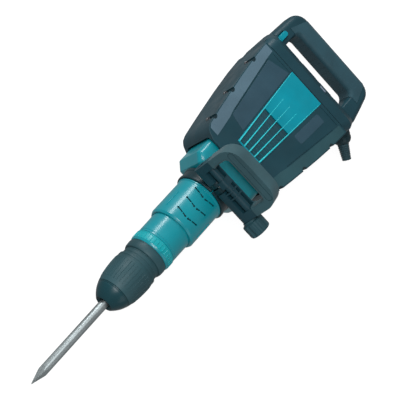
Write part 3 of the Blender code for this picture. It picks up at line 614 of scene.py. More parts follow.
def raised_strips(bm, every, reach, lowest_radius, inset, height):
    """Raise every so-many-th lengthwise strip of a turned skin within a reach along X."""
    step = math.tau / RIB_STRIPS
    for strip in range(0, RIB_STRIPS, every):
        middle = (strip + 0.5) * step
        found = []
        for face in bm.faces:
            centre = face.calc_center_median()
            radius = math.hypot(centre.y, centre.z)
            if not reach[0] < centre.x < reach[1] or radius < lowest_radius:
                continue
            apart = math.remainder(math.atan2(centre.z, centre.y) - middle, math.tau)
            if abs(apart) < step / 4:
                found.append(face)
        bmesh.ops.inset_region(bm, faces=found, thickness=inset, depth=height, use_even_offset=True)
    return bm


bullet = [(sleeve_rear, 39.0), (sleeve_rear, 40.8), (sleeve_rear + 0.6, 41.4), (396, 41.6), (397, 40.8)]
bullet += [(399, 40.8), (400, 41.8)] + bow((404, 42.2), (436, 42.4), (sleeve_front - 0.6, 36.1))
bullet += [(sleeve_front, 35.4), (sleeve_front, 17.6), (456, 17.6), (456, 32.6), (440, 36.0)]
bullet += [(428, 36.8), (428, 20.0), (433, 20.0), (433, 16.1), (430, 15.3), (424, 15.3), (424, 36.8)]
bullet += [(414, 37.4), (412, 39.0)]
release = raised_strips(turned(bullet, RIB_STRIPS), 4, (406, 450), 37.2, 0.3, 0.6)
piece("release_sleeve", release, "release_cover", sleeve_plastic, ["release_cover"])

# %% [markdown]
# Behind it sits the neck, and then the ring that sets the angle of the bit. The ring is bright teal, with
# broad flutes for the fingers, a chamfer towards the nose in the darker barrel teal as painted shade, and a
# dark flange in front.

# %% Neck and angle ring
neck_rear, neck_front = span_x("neck_sleeve")
neck = [
    (neck_rear, 36.0), (neck_rear, 38.5), (379, 38.5), (379.6, 37.9), (381.4, 37.9), (382, 38.5),
    (386, 38.5), (386.6, 37.9), (388.4, 37.9), (389, 38.5), (neck_front, 38.5), (neck_front, 36.0),
    (379.7, 36.0), (379.7, 21.3), (376, 21.3), (376, 36.0),
]
piece("neck_collar", turned(neck), "holder", sleeve_plastic, ["neck_sleeve"])

ring_rear, ring_front = span_x("change_ring")
teal_end = ring_front - 18.2
ring = [
    (ring_rear, 38.9), (ring_rear, 43.0), (ring_rear + 0.8, 43.8), (ring_rear + 2.0, 43.8),
    (ring_rear + 3.0, 43.1), (teal_end - 5.8, 43.1), (teal_end - 5.0, 43.6), (teal_end - 4.4, 43.4),
    (teal_end - 4.4, 38.9),
]
fluted = raised_strips(turned(ring, RIB_STRIPS), 4, (ring_rear + 3, teal_end - 5.8), 42.0, 0.45, 0.8)
piece("angle_ring", fluted, "change_ring", ring_paint, ["change_ring"])

# The chamfer band is part of the same ring, drawn in the darker barrel teal as painted shade.
chamfer = [(teal_end - 4.3, 38.9), (teal_end - 4.3, 43.2), (teal_end - 0.6, 42.2), (teal_end, 41.6)]
chamfer += [(teal_end, 38.9)]
piece("angle_ring_chamfer", turned(chamfer), "change_ring", teal_paint)

flange = [(teal_end + 0.1, 38.9), (teal_end + 0.1, 40.8), (teal_end + 1.8, 40.8), (teal_end + 2.8, 42.0)]
flange += bow((teal_end + 4, 42.4), (ring_front, 42.6), (ring_front, 39.6), 8) + [(ring_front, 38.6)]
piece("angle_ring_flange", turned(flange), "change_ring", sleeve_plastic)

# %% [markdown]
# ## The barrels
# The front barrel is a plain painted casting with a soft roll where the angle ring meets it. The wide sleeve
# behind slips over it. It has a chamfered front, a raised collar against the clamp, a parting ridge, and rows
# of slits that let the cooling air out. Each slit is interrupted by a thin web, which keeps it stiff. A thin
# dark tube under the slits is painted shade, so the slits look dark and not at the cylinder.

# %% Front barrel
barrel_rear, barrel_front = span_x("front_barrel")
front_barrel = [
    (barrel_rear, 27.4), (barrel_rear, 32.0), (320, 32.0), (320, 38.0), (barrel_rear, 38.0),
    (barrel_rear, 45.0), (282.6, 45.0), (282.6, 42.9), (284, 43.0), (300, 42.9), (331, 42.7),
    (332, 42.0), (333, 42.0), (334, 42.7), (336.4, 42.7), (337.6, 41.4), (337.6, 38.2),
    (barrel_front, 38.2), (barrel_front, 21.4), (334.6, 21.4), (334.6, 16.5), (304, 16.5),
    (304, 10.5), (300.4, 10.5), (300.4, 27.4),
]
piece("front_barrel_casting", turned(front_barrel), "machine", teal_paint,
      ["front_barrel"])

# %% Wide sleeve
wide_rear, wide_front = span_x("barrel_sleeve")
WIDE_RADIUS = span("barrel_sleeve")[1][1]
BAND_FRONT = span_x("clamp_band")[1]
COLLAR = (BAND_FRONT + 0.6, BAND_FRONT + 4.4)
SLIT_STATIONS = (215.5, 241.5, 268.5)
SLIT_SLOPE = math.radians(15)
SLIT_HALF_WIDTH = 1.3

wide = [(wide_rear, 45.4), (wide_rear, WIDE_RADIUS), (COLLAR[0], WIDE_RADIUS), (COLLAR[0], 50.0)]
wide += [(COLLAR[0] + 0.6, 50.6), (COLLAR[1] - 1.2, 50.6), (COLLAR[1], WIDE_RADIUS + 0.1)]
wide += [(COLLAR[1] + 1.5, WIDE_RADIUS), (wide_front - 4.6, WIDE_RADIUS), (wide_front - 3.8, 48.7)]
wide += [(wide_front - 0.5, 46.9), (wide_front, 46.3), (wide_front, 43.3), (283, 43.3), (283, 45.4)]
slits = []
for along in SLIT_STATIONS:
    for around, slope in ((-20, 1), (14, -1), (160, 1), (194, -1)):
        lean = Matrix.Rotation(-slope * SLIT_SLOPE, 3, "Z")
        turn = Matrix.Rotation(math.radians(-around), 3, "X")
        for low, high, end in ((-11.5, slope * 3 - 0.7, -11), (slope * 3 + 0.7, 11.5, 11)):
            slit = block((-SLIT_HALF_WIDTH, SLIT_HALF_WIDTH), (low, high), (40, 56))
            slit = combined(slit, [rod(39, 57, 2.1, 16, "Z", (0, end, 0))], "UNION")
            bmesh.ops.rotate(slit, verts=slit.verts, matrix=lean)
            bmesh.ops.translate(slit, verts=slit.verts, vec=(along, 0, 0))
            bmesh.ops.rotate(slit, verts=slit.verts, matrix=turn)
            slits.append(slit)
sleeve = combined(turned(wide), [joined(*slits)])
piece("wide_sleeve", sleeve, "machine", teal_paint, ["barrel_sleeve"], 0.35)

# A dark tube put under the slits as painted shade.
LINER_INNER, LINER_OUTER = 44.2, 44.9
liner_front = barrel_rear - 0.5
liner = [(BAND_FRONT, LINER_INNER), (BAND_FRONT, LINER_OUTER)]
liner += [(liner_front, LINER_OUTER), (liner_front, LINER_INNER)]
piece("slit_shade_tube", turned(liner), "machine", black_plastic)
print("the liner ends at", liner_front)

ridges = []
for around in (-60, 60, 180):
    ridge = block((236, 273), (-1.1, 1.1), (48, WIDE_RADIUS + 1.2))
    round_where(ridge, lambda p: p.z > WIDE_RADIUS + 1.1, 0.6, 3)
    bmesh.ops.rotate(ridge, verts=ridge.verts, matrix=Matrix.Rotation(math.radians(-around), 3, "X"))
    ridges.append(ridge)
piece("sleeve_ridges", joined(*ridges), "machine", teal_paint)

# %% [markdown]
# ## The clamp and the side handle
# A two-jawed band grips the barrel and can be turned round it. One long bolt closes its jaws and carries the
# side handle. The band is turned, its jaws are an extruded ear, and a Boolean adds the ear, the split and the
# bolt hole.

# %% Clamp band
BAND_REAR = span_x("clamp_band")[0]
BOLT_X, BOLT_Z = [sum(span("handle_bolt")[n]) / 2 for n in (0, 2)]
BAND_OUTER = -span("clamp_band")[2][0]
BAND_INNER = WIDE_RADIUS + 0.6

band = [(BAND_REAR, BAND_INNER), (BAND_REAR, BAND_OUTER - 1), (BAND_REAR + 1, BAND_OUTER)]
band += [(BAND_REAR + 7, BAND_OUTER), (BAND_REAR + 8, BAND_OUTER - 1.2), (BAND_FRONT - 8, BAND_OUTER - 1.2)]
band += [(BAND_FRONT - 7, BAND_OUTER), (BAND_FRONT - 1, BAND_OUTER), (BAND_FRONT, BAND_OUTER - 1)]
band += [(BAND_FRONT, BAND_INNER)]
ear_side = arc((BOLT_X, BOLT_Z), 10, 180, 0, 16) + [(BOLT_X + 10, 46), (BOLT_X - 10, 46)]
ear = extruded(ear_side, -12, 12, "Y")
jaws = combined(turned(band), [ear], "UNION")
cuts = [
    rod(160, 215, BAND_INNER, 96),
    block((165, 210), (-1.5, 1.5), (40, BOLT_Z + 20)),
    rod(-30, 30, 4.4, 32, "Y", (BOLT_X, 0, BOLT_Z)),
]
piece("clamp_jaws", combined(jaws, cuts), "clamp", black_plastic, ["clamp_band"], 0.5)

# %% [markdown]
# The side handle is a D of stiff plastic. Its base bar has deep pockets on both sides of a round rail, because
# a solid bar would sink as it cools in the mould. A rubber pad is moulded round the far bar, a little proud,
# and its edge shows as a line across both arms. All of it is drawn upright over the bolt, and lean() tips it
# back to the angle in which it rests.

# %% Side handle frame
SIDE_LOW, SIDE_HIGH = span("side_handle")[1]
SIDE_TOP = BOLT_Z + 94
SIDE_BOTTOM = BOLT_Z - 14
SIDE_TILT = math.radians(22.5)
SIDE_THICK = 14.0
PAD_START = BOLT_Z + 30


def lean(bm):
    bmesh.ops.rotate(bm, verts=bm.verts, cent=(BOLT_X, 0, BOLT_Z), matrix=Matrix.Rotation(-SIDE_TILT, 3, "Y"))
    return bm


def side_handle_blank(grow):
    """The D with its finger gap, grown by so much on every side."""
    low, high, top = SIDE_LOW - grow, SIDE_HIGH + grow, SIDE_TOP + grow
    corner = 34 + grow
    outline = [(low, SIDE_BOTTOM), (high, SIDE_BOTTOM)]
    outline += arc((high - corner, top - corner), corner, 0, 90, 14)
    outline += arc((low + corner, top - corner), corner, 90, 180, 14)
    frame_bm = extruded(outline, BOLT_X - SIDE_THICK - grow, BOLT_X + SIDE_THICK + grow, "X")
    face = SIDE_THICK + grow - 1
    round_where(frame_bm, lambda p: abs(p.x - BOLT_X) > face and p.z < SIDE_BOTTOM + 1, 12.6, 7)
    round_where(frame_bm, lambda p: abs(p.x - BOLT_X) > face and p.z > BOLT_Z - 6, 9 + grow, 7)

    def gap(offset):
        reach = offset - grow
        return rounded_box((SIDE_LOW + 16 - reach, SIDE_HIGH - 17 + reach),
                           (BOLT_Z + 26 - reach, SIDE_TOP - 27 + reach), 10 + reach)

    mouth = flared_hole(gap, SIDE_THICK + grow, 6, 30, lambda u, v, depth: (BOLT_X + depth, u, v))
    return combined(frame_bm, [mouth])


RAIL = (BOLT_X + 4, BOLT_Z + 18)
pockets = []
for low, high in ((-37, -8), (8, 18), (21, 31), (34, 66)):
    channel = block((BOLT_X - 7, BOLT_X + 20), (low, high), (BOLT_Z + 8, BOLT_Z + 31))
    rail = rod(low - 5, high + 5, 7.5, 32, "Y", (RAIL[0], 0, RAIL[1]))
    pockets.append(combined(channel, [rail]))
side_cuts = [
    block((BOLT_X - 10.8, BOLT_X + 30), (-12.5, 12.5), (SIDE_BOTTOM - 10, BOLT_Z + 10.8)),
    block((BOLT_X - 30, BOLT_X + 5), (-12.5, 12.5), (SIDE_BOTTOM - 10, BOLT_Z + 1)),
    rod(SIDE_LOW + 5, SIDE_HIGH + 10, 4.5, 32, "Y", (BOLT_X, 0, BOLT_Z)),
    rod(SIDE_LOW - 10, SIDE_LOW + 9.6, 7.5, 32, "Y", (BOLT_X, 0, BOLT_Z)),
    joined(*pockets),
]
side_frame = combined(side_handle_blank(0.0), side_cuts)
piece("side_handle_frame", lean(side_frame), "side_handle", slate_plastic, ["side_handle"], 0.5)

# %% Side handle pad
pad = side_handle_blank(0.9)
keep_side(pad, (BOLT_X, 0, PAD_START), (0, 0, -1))
line_cuts = []
for face in (-1, 1):
    middle = BOLT_X + face * (SIDE_THICK + 0.9)
    outer = rounded_box((SIDE_LOW + 10, SIDE_HIGH - 10), (SIDE_TOP - 21.5, SIDE_TOP - 8), 6.5)
    inner = rounded_box((SIDE_LOW + 11.4, SIDE_HIGH - 11.4), (SIDE_TOP - 20.1, SIDE_TOP - 9.4), 5.1)
    band_cut = extruded(outer, middle - 1.2, middle + 1.2, "X")
    line_cuts.append(combined(band_cut, [extruded(inner, middle - 2, middle + 2, "X")]))
piece("side_handle_pad", lean(combined(pad, line_cuts)), "side_handle", side_rubber, (), 0.35)

# %% [markdown]
# The clamp nut is a hand knob: a turned blank with eight finger flutes and a dished face. Cutting the flutes
# with round rods gives the scalloped edge that fingers fit.

# %% Clamp nut and bolt
nut_low, nut_high = span("clamp_nut")[1]
NUT_RADIUS = (span("clamp_nut")[0][1] - span("clamp_nut")[0][0]) / 2
knob_profile = [(nut_low, 4.5), (nut_low, 15.5), (nut_low + 1, 16.5), (nut_low + 4, 16.5)]
knob_profile += [(nut_low + 6, NUT_RADIUS - 1), (nut_low + 7.5, NUT_RADIUS), (nut_high - 5, NUT_RADIUS)]
knob_profile += arc((nut_high - 4, NUT_RADIUS - 4), 4, 90, 10, 6)
knob_profile += [(nut_high - 0.2, 14.5), (nut_high - 1.6, 13.4), (nut_high - 1.6, 0), (nut_low + 25, 0)]
knob_profile += [(nut_low + 25, 4.5)]
centre = (BOLT_X, 0, BOLT_Z)
FLUTES, KNURLS = 8, 24
flutes = []
for n in range(FLUTES):
    angle = math.tau * (n + 0.5) / FLUTES
    place = (BOLT_X + 25.2 * math.cos(angle), 0, BOLT_Z + 25.2 * math.sin(angle))
    flutes.append(rod(nut_low + 5.0, nut_high + 5, 5.6, 24, "Y", place))
for n in range(KNURLS):
    angle = math.tau * n / KNURLS
    place = (BOLT_X + 22.1 * math.cos(angle), 0, BOLT_Z + 22.1 * math.sin(angle))
    flutes.append(rod(nut_low + 5.0, nut_high + 5, 0.7, 10, "Y", place))
knob = combined(turned(knob_profile, 96, "Y", centre), flutes)
piece("clamp_knob", knob, "clamp_nut", knob_plastic, ["clamp_nut"], 0.4)

bolt_low, bolt_high = span("handle_bolt")[1]
hexagon = arc((BOLT_X, BOLT_Z), 6.6, 0, 300, 5)
bolt_head = extruded(hexagon, bolt_low, bolt_low + 6, "Y")
round_where(bolt_head, lambda p: p.y < bolt_low + 0.1, 0.8, 2)
socket = extruded(arc((BOLT_X, BOLT_Z), 3.4, 0, 300, 5), bolt_low - 1, bolt_low + 3, "Y")
shank = rod(bolt_low + 5.5, bolt_high, 4, 32, "Y", centre)
bolt = combined(combined(bolt_head, [shank], "UNION"), [socket])
piece("clamp_bolt", bolt, "clamp", machine_steel, ["handle_bolt"], 0.2)

# %% [markdown]
# ## The crank case
# Behind the clamp the casting widens into the crank case. Its edges are broad casting radii, because molten
# alloy fills a soft corner best. Four cap screws on its front flange hold the barrel.

# %% Crank case
case_rear, case_front = span_x("crank_case")
case_half = span("crank_case")[1][1]
case_top = span("crank_case")[2][1]
outline = [(case_rear, -case_half), (case_front - 15, -case_half), (case_front, -55)]
outline += [(case_front, 55), (case_front - 15, case_half), (case_rear, case_half)]
case = extruded(outline, -case_top, case_top)
round_where(case, lambda p: abs(p.z) > case_top - 1 and p.x > case_rear + 1, 14, 6)
room = [(case_rear - 5, case_half - 5), (case_front - 18, case_half - 5), (case_front - 6, 51)]
room += [(x, -y) for x, y in reversed(room)]
hollow = extruded(room, -case_top + 5, case_top - 5)
round_where(hollow, lambda p: abs(p.z) > case_top - 6 and p.x > case_rear, 9, 2)
case = combined(case, [hollow, rod(140, 190, 27.4, 48)])
piece("crank_case_casting", case, "machine", teal_paint, ["crank_case"], 1.2)


def socket_screw(radius, height):
    """A cap screw seen from above, standing on z 0, with a hexagon socket."""
    head = turned([(0, 0), (0, radius), (height - 0.6, radius), (height, radius - 0.6), (height, 0)], 32, "Z")
    return combined(head, [extruded(arc((0, 0), radius * 0.5, 0, 300, 5), height - 1.6, height + 1)])


def placed(bm, x, y, z, turn=None):
    if turn:
        bmesh.ops.rotate(bm, verts=bm.verts, matrix=turn)
    bmesh.ops.translate(bm, verts=bm.verts, vec=(x, y, z))
    return bm


flange_screws = []
for side in (-1, 1):
    for height in (-30, 30):
        upright = socket_screw(4.4, 3.4)
        bmesh.ops.rotate(upright, verts=upright.verts, matrix=Matrix.Rotation(math.radians(90), 3, "Y"))
        flange_screws.append(placed(upright, case_front - 0.2, side * 42, height))
piece("flange_screws", joined(*flange_screws), "machine", screw_steel)

# %% [markdown]
# ## The covers
# Two nylon shells close round the motor. Each is an extruded outline with one wide rounding along its long
# edges, hollowed to a 4 mm wall. Booleans cut the mouth for the crank case, the grille window, the screw
# notches in the flanks and the thin grooves that draw panels on the face.

# %% Cover outline
COVER_FRONT = span_x("upper_cover")[1]
COVER_TOP = span("upper_cover")[2][1]
SEAM = span_x("upper_cover")[0]
SEAM_HALF = span("upper_cover")[1][1]
WALL = 4.0
COVER_EDGE = 22.0
COVER_SIDE = [(COVER_FRONT, 66), (118, 86), (105, 94), (55, 102.5), (-15, 113), (-70, 119.5)]
GRILLE_REAR, GRILLE_FRONT = span_x("upper_grille")
GRILLE_WIDE = span("upper_grille")[1][1] + 0.3
GRILLE_NARROW = 31.0
SCREW_PLACES = ((88, 95.5), (20, 106), (-62, 117))


def cover_outline(inset=0.0, rear=SEAM + 1.2):
    side = [(x - inset, y - inset) for x, y in COVER_SIDE] + [(rear, SEAM_HALF - inset)]
    return side + [(x, -y) for x, y in reversed(side)]


def strip(start, end, width, low, high):
    """A straight bar on the face from one (x, y) point to another."""
    along = Vector((end[0] - start[0], end[1] - start[1])).normalized() * (width / 2)
    across = Vector((-along.y, along.x))
    a, b = Vector(start), Vector(end)
    return extruded([a - across, b - across, b + across, a + across], low, high)


def grille_window(low, high, inset=0.0):
    rear, front = GRILLE_REAR - 0.3 + inset, GRILLE_FRONT + 0.3 - inset
    wide, narrow = GRILLE_WIDE - inset, GRILLE_NARROW - inset
    return extruded([(rear, -wide), (front, -narrow), (front, narrow), (rear, wide)], low, high)


# %% [markdown]
# The same function makes the upper and the lower shell, so that they match along their parting line. The
# groove that runs beside each shoulder is cut 0.9 mm deep, and a shallow step marks the front of the panel.

# %% Cover shells
GROOVE_FRONT, GROOVE_REAR = (46, 75.5), (-88, 96.5)


def cover_blank(grow=0.0):
    """The full outside of both shells, grown by so much on every side."""
    top = COVER_TOP + grow
    blank = extruded(cover_outline(-grow), -top, top)
    round_where(blank, lambda p: abs(p.z) < 1 and 100 < p.x < COVER_FRONT - 1, 9, 5)
    return round_where(blank, lambda p: abs(p.z) > top - 1 and p.x > SEAM + 2, COVER_EDGE + grow, 9)


NOTCH_RADIUS = 5.5


def screw_notches():
    """Upright cutters that leave room for the cover screws on both flanks."""
    notches = []
    for x, wide in SCREW_PLACES:
        notches += [rod(30, 66, NOTCH_RADIUS, 32, "Z", (x, y * wide, 0)) for y in (-1, 1)]
    return joined(*notches)


def cover_shell(side):
    shell = cover_blank()
    keep_side(shell, (0, 0, side * 0.2), (0, 0, -side))
    inside = COVER_TOP - WALL
    hollow = extruded(cover_outline(WALL, SEAM - 10), -inside, inside)
    round_where(hollow, lambda p: abs(p.z) > inside - 1 and p.x > SEAM - 5, COVER_EDGE - WALL, 4)
    mouth = block((COVER_FRONT - 30, COVER_FRONT + 5), (-75, 75), (-54.5, 54.5))
    round_where(mouth, lambda p: abs(p.z) > 54 and abs(p.y) > 74, 14, 6)
    low, high = sorted((side * (COVER_TOP - 0.9), side * (COVER_TOP + 5)))
    grooves = []
    for y in (-1, 1):
        front = (GROOVE_FRONT[0], y * GROOVE_FRONT[1])
        rear = (GROOVE_REAR[0], y * GROOVE_REAR[1])
        grooves.append(strip(front, rear, 1.8, low, high))
        grooves.append(strip((SEAM + 8, y * 46), (SEAM + 8, y * 96), 1.0, low, high))
    low, high = sorted((side * 50, side * 66))
    tools = [hollow, mouth, grille_window(low, high), joined(*grooves), screw_notches()]
    return combined(shell, tools)


for name, side in (("upper", 1), ("lower", -1)):
    piece(name + "_shell", cover_shell(side), "housing", slate_plastic,
          [name + "_cover"], 0.5)

# %% [markdown]
# The face of the real cover is not one colour. A smoother slate panel lies between the shoulder and the grille.
# It is a thin moulding let into the face, and the shoulder strips are thin skins on the face, so each is its
# own piece and stands a little proud. The strips over the shoulders are painted light. The left one is a paler
# painted highlight, where the light from the left shines on the rounded edge, and the right one is a fainter
# painted highlight in the sleeve plastic. A shoulder strip is the skin between two sizes of the same cover
# blank, which is how it follows the rounded edge. A dark gasket fills the joint behind the shells.

# %% Shoulder strips and panels
FACE = COVER_TOP + 0.35


def face_plate(points, thickness=1.2, corner=2.0):
    """A thin plate on the upper face, with round corners and a soft rim."""
    plate = extruded(points, FACE - thickness, FACE)
    round_where(plate, lambda p: FACE - thickness + 0.05 < p.z < FACE - 0.05, corner, 4)
    return plate


left_panel = [(57, -72.5), (64, -36.5), (-101, -46), (-87, -94)]
piece("left_panel", face_plate(left_panel), "housing", panel_plastic, (), 0.3)
plaque = [(-12, 46), (-12, 68), (-87, 73), (-87, 51)]
piece("small_plaque", face_plate(plaque, 1.6, 3.0), "housing", panel_plastic, (), 0.3)

SHOULDER = [(48, 77.5), (64, 73), (112, 66), (112, 86), (104, 91.5), (55, 100), (-15, 110.5), (-70, 117)]
SHOULDER += [(SEAM + 5, 119.5), (SEAM + 5, 100), (-86, 98)]
# Both strips carry painted light: the left one a pale painted highlight, the right one a fainter one.
for name, side, finish in (("left_shoulder", -1, shoulder_highlight_plastic), ("right_shoulder", 1, sleeve_plastic)):
    outline = extruded([(x, side * y) for x, y in SHOULDER], 24, COVER_TOP + 5)
    skin = combined(combined(cover_blank(0.35), [outline], "INTERSECT"), [cover_blank(-0.8), screw_notches()])
    piece(name, skin, "housing", finish, (), 0.25)

gasket = rounded_box((1.4 - SEAM_HALF, SEAM_HALF - 1.4), (1.4 - COVER_TOP, COVER_TOP - 1.4), COVER_EDGE)
gasket_hole = block((SEAM - 5, SEAM + 5), (-85, 85), (-30, 30))
gasket = combined(extruded(gasket, SEAM - 0.2, SEAM + 1.1, "X"), [gasket_hole])
piece("seam_gasket", gasket, "housing", boot_rubber)

# %% Cover screws
screws = []
for x, wide in SCREW_PLACES:
    for y in (-1, 1):
        screws.append(placed(socket_screw(4.4, 5), x, y * wide, 29.2))
piece("cover_screws", joined(*screws), "housing", screw_steel)

# %% [markdown]
# ## The grilles
# The teal grille is solid at the rear and opens towards the front, where five bright ribs close in on each
# other. Between the ribs, dark louvres lie crosswise and hide the motor from view while the air passes.
# The lower grille is the same plate with flush ribs, because the hammer lies on it.

# %% Grille plates
GAPS = 4
FRONT_PITCH, REAR_PITCH = 14.2, 18.5
OPEN_FRONT, OPEN_REAR = GRILLE_FRONT - 3.7, -6.0
FAN_REAR = -22.0  # where the spacing of the ribs is at its rear value


def rib_y(number, x):
    """Distance of a rib from the middle line at a place along the grille."""
    share = (OPEN_FRONT - x) / (OPEN_FRONT - FAN_REAR)
    return (number - GAPS / 2) * (FRONT_PITCH + (REAR_PITCH - FRONT_PITCH) * share)


def air_gap(number, rear):
    bar = 1.1
    points = [(OPEN_FRONT, rib_y(number, OPEN_FRONT) + bar), (OPEN_FRONT, rib_y(number + 1, OPEN_FRONT) - bar)]
    return points + [(rear, rib_y(number + 1, rear) - bar), (rear, rib_y(number, rear) + bar)]


def grille_plate(side, face, rear):
    low, high = sorted((side * 56.2, side * face))
    plate = grille_window(low, high, 0.3)
    low, high = sorted((side * 50, side * 66))
    return combined(plate, [extruded(air_gap(n, rear), low, high) for n in range(GAPS)])


piece("upper_grille_plate", grille_plate(1, 60.5, OPEN_REAR), "housing", teal_plastic,
      ["upper_grille"], 0.4)
piece("lower_grille_plate", grille_plate(-1, 60.0, 14.0), "housing", teal_plastic,
      ["lower_grille"], 0.4)

# %% Grille ribs
RIB_START = -52.0
ribs = []
for number in range(GAPS + 1):
    edge = number in (0, GAPS)
    start = GRILLE_REAR + 4 if edge else RIB_START
    front_y = rib_y(number, OPEN_FRONT + 2)
    rear_y = math.copysign(GRILLE_WIDE - 1.6, number - GAPS / 2) if edge else rib_y(number, start)
    rib = [(OPEN_FRONT + 2, front_y - 1.2), (OPEN_FRONT + 2, front_y + 1.2), (start, rear_y + 0.35)]
    rib += [(start, rear_y - 0.35)]
    bar = extruded(rib, 57.0, 61.9)
    for corner in [v for v in bar.verts if v.co.x < start + 1 and v.co.z > 60]:
        corner.co.z = 60.6
    ribs.append(bar)
piece("grille_ribs", joined(*ribs), "housing", rib_plastic, (), 0.35)

# %% Louvres
slats = []
for side in (-1, 1):
    lean_back = Matrix.Rotation(side * math.radians(32), 3, "Y")
    for n in range(10):
        x = OPEN_REAR - 1 + n * 9.6
        half = abs(rib_y(0, x)) - 0.5
        low, high = sorted((side * 51.6, side * 53.0))
        slats.append(block((x - 4.4, x + 4.4), (-half, half), (low, high), lean_back))
piece("grille_louvres", joined(*slats), "housing", louvre_plastic)

# %% [markdown]
# ## The rear handle
# The rear handle is a wide D that floats on springs behind the motor. It is moulded in two halves. The block
# slopes down to the finger gap, and the grip bar behind it is round enough for a gloved hand. Its rubber pad
# is drawn as a slightly larger D that is kept only round the bar.

# %% Handle halves
HANDLE_REAR = span_x("handle_upper")[0]
LOOP_HALF = 24.0
WALL_REAR = -159.0
GRIP_FRONT = -209.0


def handle_block():
    wide = SEAM_HALF
    front = SEAM - 0.3
    outline = [(front, wide), (-138, wide + 8), (WALL_REAR, wide + 11), (WALL_REAR, -wide - 1)]
    outline += [(-138, -wide - 1), (front, -wide)]
    shape = extruded(outline, -COVER_TOP, COVER_TOP)
    for side in (-1, 1):
        keep_side(shape, (-134, 0, side * COVER_TOP), Vector((-31, 0, side * 31)))
    return round_where(shape, lambda p: abs(p.z) > 25 and abs(p.y) > 100 and p.x < front - 1, COVER_EDGE, 9)


def handle_loop(grow):
    """The D of the rear handle, grown by so much on every side."""
    outline = [(-140, 129 + grow), (-172, 131 + grow), (-205, 124 + grow)]
    outline += arc((HANDLE_REAR + 29, 90), 29 + grow, 100, 180, 14)
    outline += arc((HANDLE_REAR + 30, -86), 30 + grow, 180, 265, 14)
    outline += [(-172, -119 - grow), (-140, -120 - grow)]
    loop = extruded(outline, -LOOP_HALF - grow, LOOP_HALF + grow)
    return round_where(loop, lambda p: abs(p.z) > LOOP_HALF - 1 and p.x < -141, 14 + grow, 8)


def finger_gap(shrink):
    """A cutter for the gap. It widens towards the grip bar only, and meets the sloping block square."""

    def outline(offset):
        end = offset / 2 - shrink
        low, high = GRIP_FRONT + shrink - offset, WALL_REAR + 0.5 - shrink
        return rounded_box((low, high), (-82 - end, 88 + end), 13)

    return flared_hole(outline, LOOP_HALF + shrink, 10, 70, lambda u, v, depth: (u, v, depth))


lens_turn = Matrix.Rotation(math.radians(-45), 3, "Y")
lever_x, lever_y, lever_z = span("switch_lever")


def handle_tools():
    steps = []
    for y in (-40, 12, 58):
        steps.append(block((WALL_REAR - 1, WALL_REAR + 2.4), (y - 6, y + 6), (18, 45)))
    return [
        finger_gap(0.0),
        block((-156, SEAM - 4), (-116, 116), (-33, 33)),
        extruded(rounded_box((lever_x[0] - 1.4, lever_x[1] + 1.4), (-108.4, -92.6), 7.2), -30, 52),
        joined(rod(-170, -150, 12.5, 48, centre=(0, -20, 0)), rod(100, 150, 9, 32, "Y", (-139, 0, 0))),
        block((-146, -136), (20, 36), (49, 55), lens_turn),
        block((SEAM - 20, SEAM + 5), (-85, 85), (-30, 30)),
        joined(*steps),
    ]


for name, side in (("upper", 1), ("lower", -1)):
    half = combined(handle_block(), [handle_loop(0.0)], "UNION")
    other = block((-270, -100), (-150, 150), sorted((side * 0.2, side * -70)))
    half = combined(half, [other, *handle_tools()])
    piece("handle_half_" + name, half, "housing", slate_plastic, ["handle_" + name], 0.6)

# %% Rear grip pad
PAD_ENDS = (-88, 96)
PAD_SLANT = 0.35
GRIP_LINES, GRIP_LINE_PITCH = 12, 12.4
grip = combined(handle_loop(0.9), [finger_gap(0.9)])
keep_side(grip, (GRIP_FRONT + 8, 0, 0), (1, 0, 0))
for end, outwards in zip(PAD_ENDS, (-1, 1)):
    keep_side(grip, (HANDLE_REAR + 16, end, 0), (-PAD_SLANT, outwards, 0))
rings = []
for n in range(GRIP_LINES):
    y = -66 + n * GRIP_LINE_PITCH
    rings.append(rod(-40, 40, 0.9, 12, "Z", (GRIP_FRONT + 1.2, y, 0)))
piece("rear_grip_pad", combined(grip, rings), "housing", grip_rubber, (), 0.4)

# %% [markdown]
# ## Controls
# The teal lever starts the motor. It slides in a dark pocket and follows the slope that it stands in, so a
# thumb finds it from either side. The dial that sets the speed has fine teeth. A smoked lens beside it shows
# a lamp when the brushes are worn.

# %% Lever, dial and lens
lever_side = [(lever_x[0], lever_z[0]), (lever_x[0], 30), (-164, 31), (lever_x[1], lever_z[1])]
lever_side += [(lever_x[1], lever_z[0])]
lever = combined(extruded(lever_side, -115, -85, "Y"),
                 [extruded(rounded_box(lever_x, lever_y, 5.8, 10), -30, 60)], "INTERSECT")
piece("start_lever", lever, "switch_lever", teal_plastic, ["switch_lever"], 1.4)

dial_x = span_x("speed_dial")
DIAL_Y = sum(span("speed_dial")[1]) / 2
dial_profile = [(dial_x[1], 0), (dial_x[1], 10), (dial_x[1] - 2, 12), (dial_x[0] + 2, 12)]
dial_profile += [(dial_x[0] + 0.4, 11), (dial_x[0], 10), (dial_x[0], 7)]
dial_profile += [(dial_x[0] + 1.2, 6), (dial_x[0] + 1.2, 0)]
TEETH = 24
teeth = []
for n in range(TEETH):
    angle = math.tau * n / TEETH
    place = (0, DIAL_Y + 12.3 * math.cos(angle), 12.3 * math.sin(angle))
    teeth.append(rod(dial_x[0] - 2, dial_x[1] + 2, 0.8, 10, "X", place))
piece("dial_wheel", combined(turned(dial_profile, 72, "X", (0, DIAL_Y, 0)), teeth), "speed_dial",
      black_plastic, ["speed_dial"], 0.2)

lens = block((-145.7, -136.3), (20.3, 35.7), (49.8, 54.6), lens_turn)
piece("lamp_lens", lens, "housing", lens_plastic, ["indicator_window"], 0.9)

# %% [markdown]
# ## Cord exit
# The cord would leave through a ribbed gland on the right flank. Only its nut and the flexible sleeve are
# part of the tool here. The sleeve is turned with rings that get smaller towards its end, which is what
# lets the real one bend evenly.

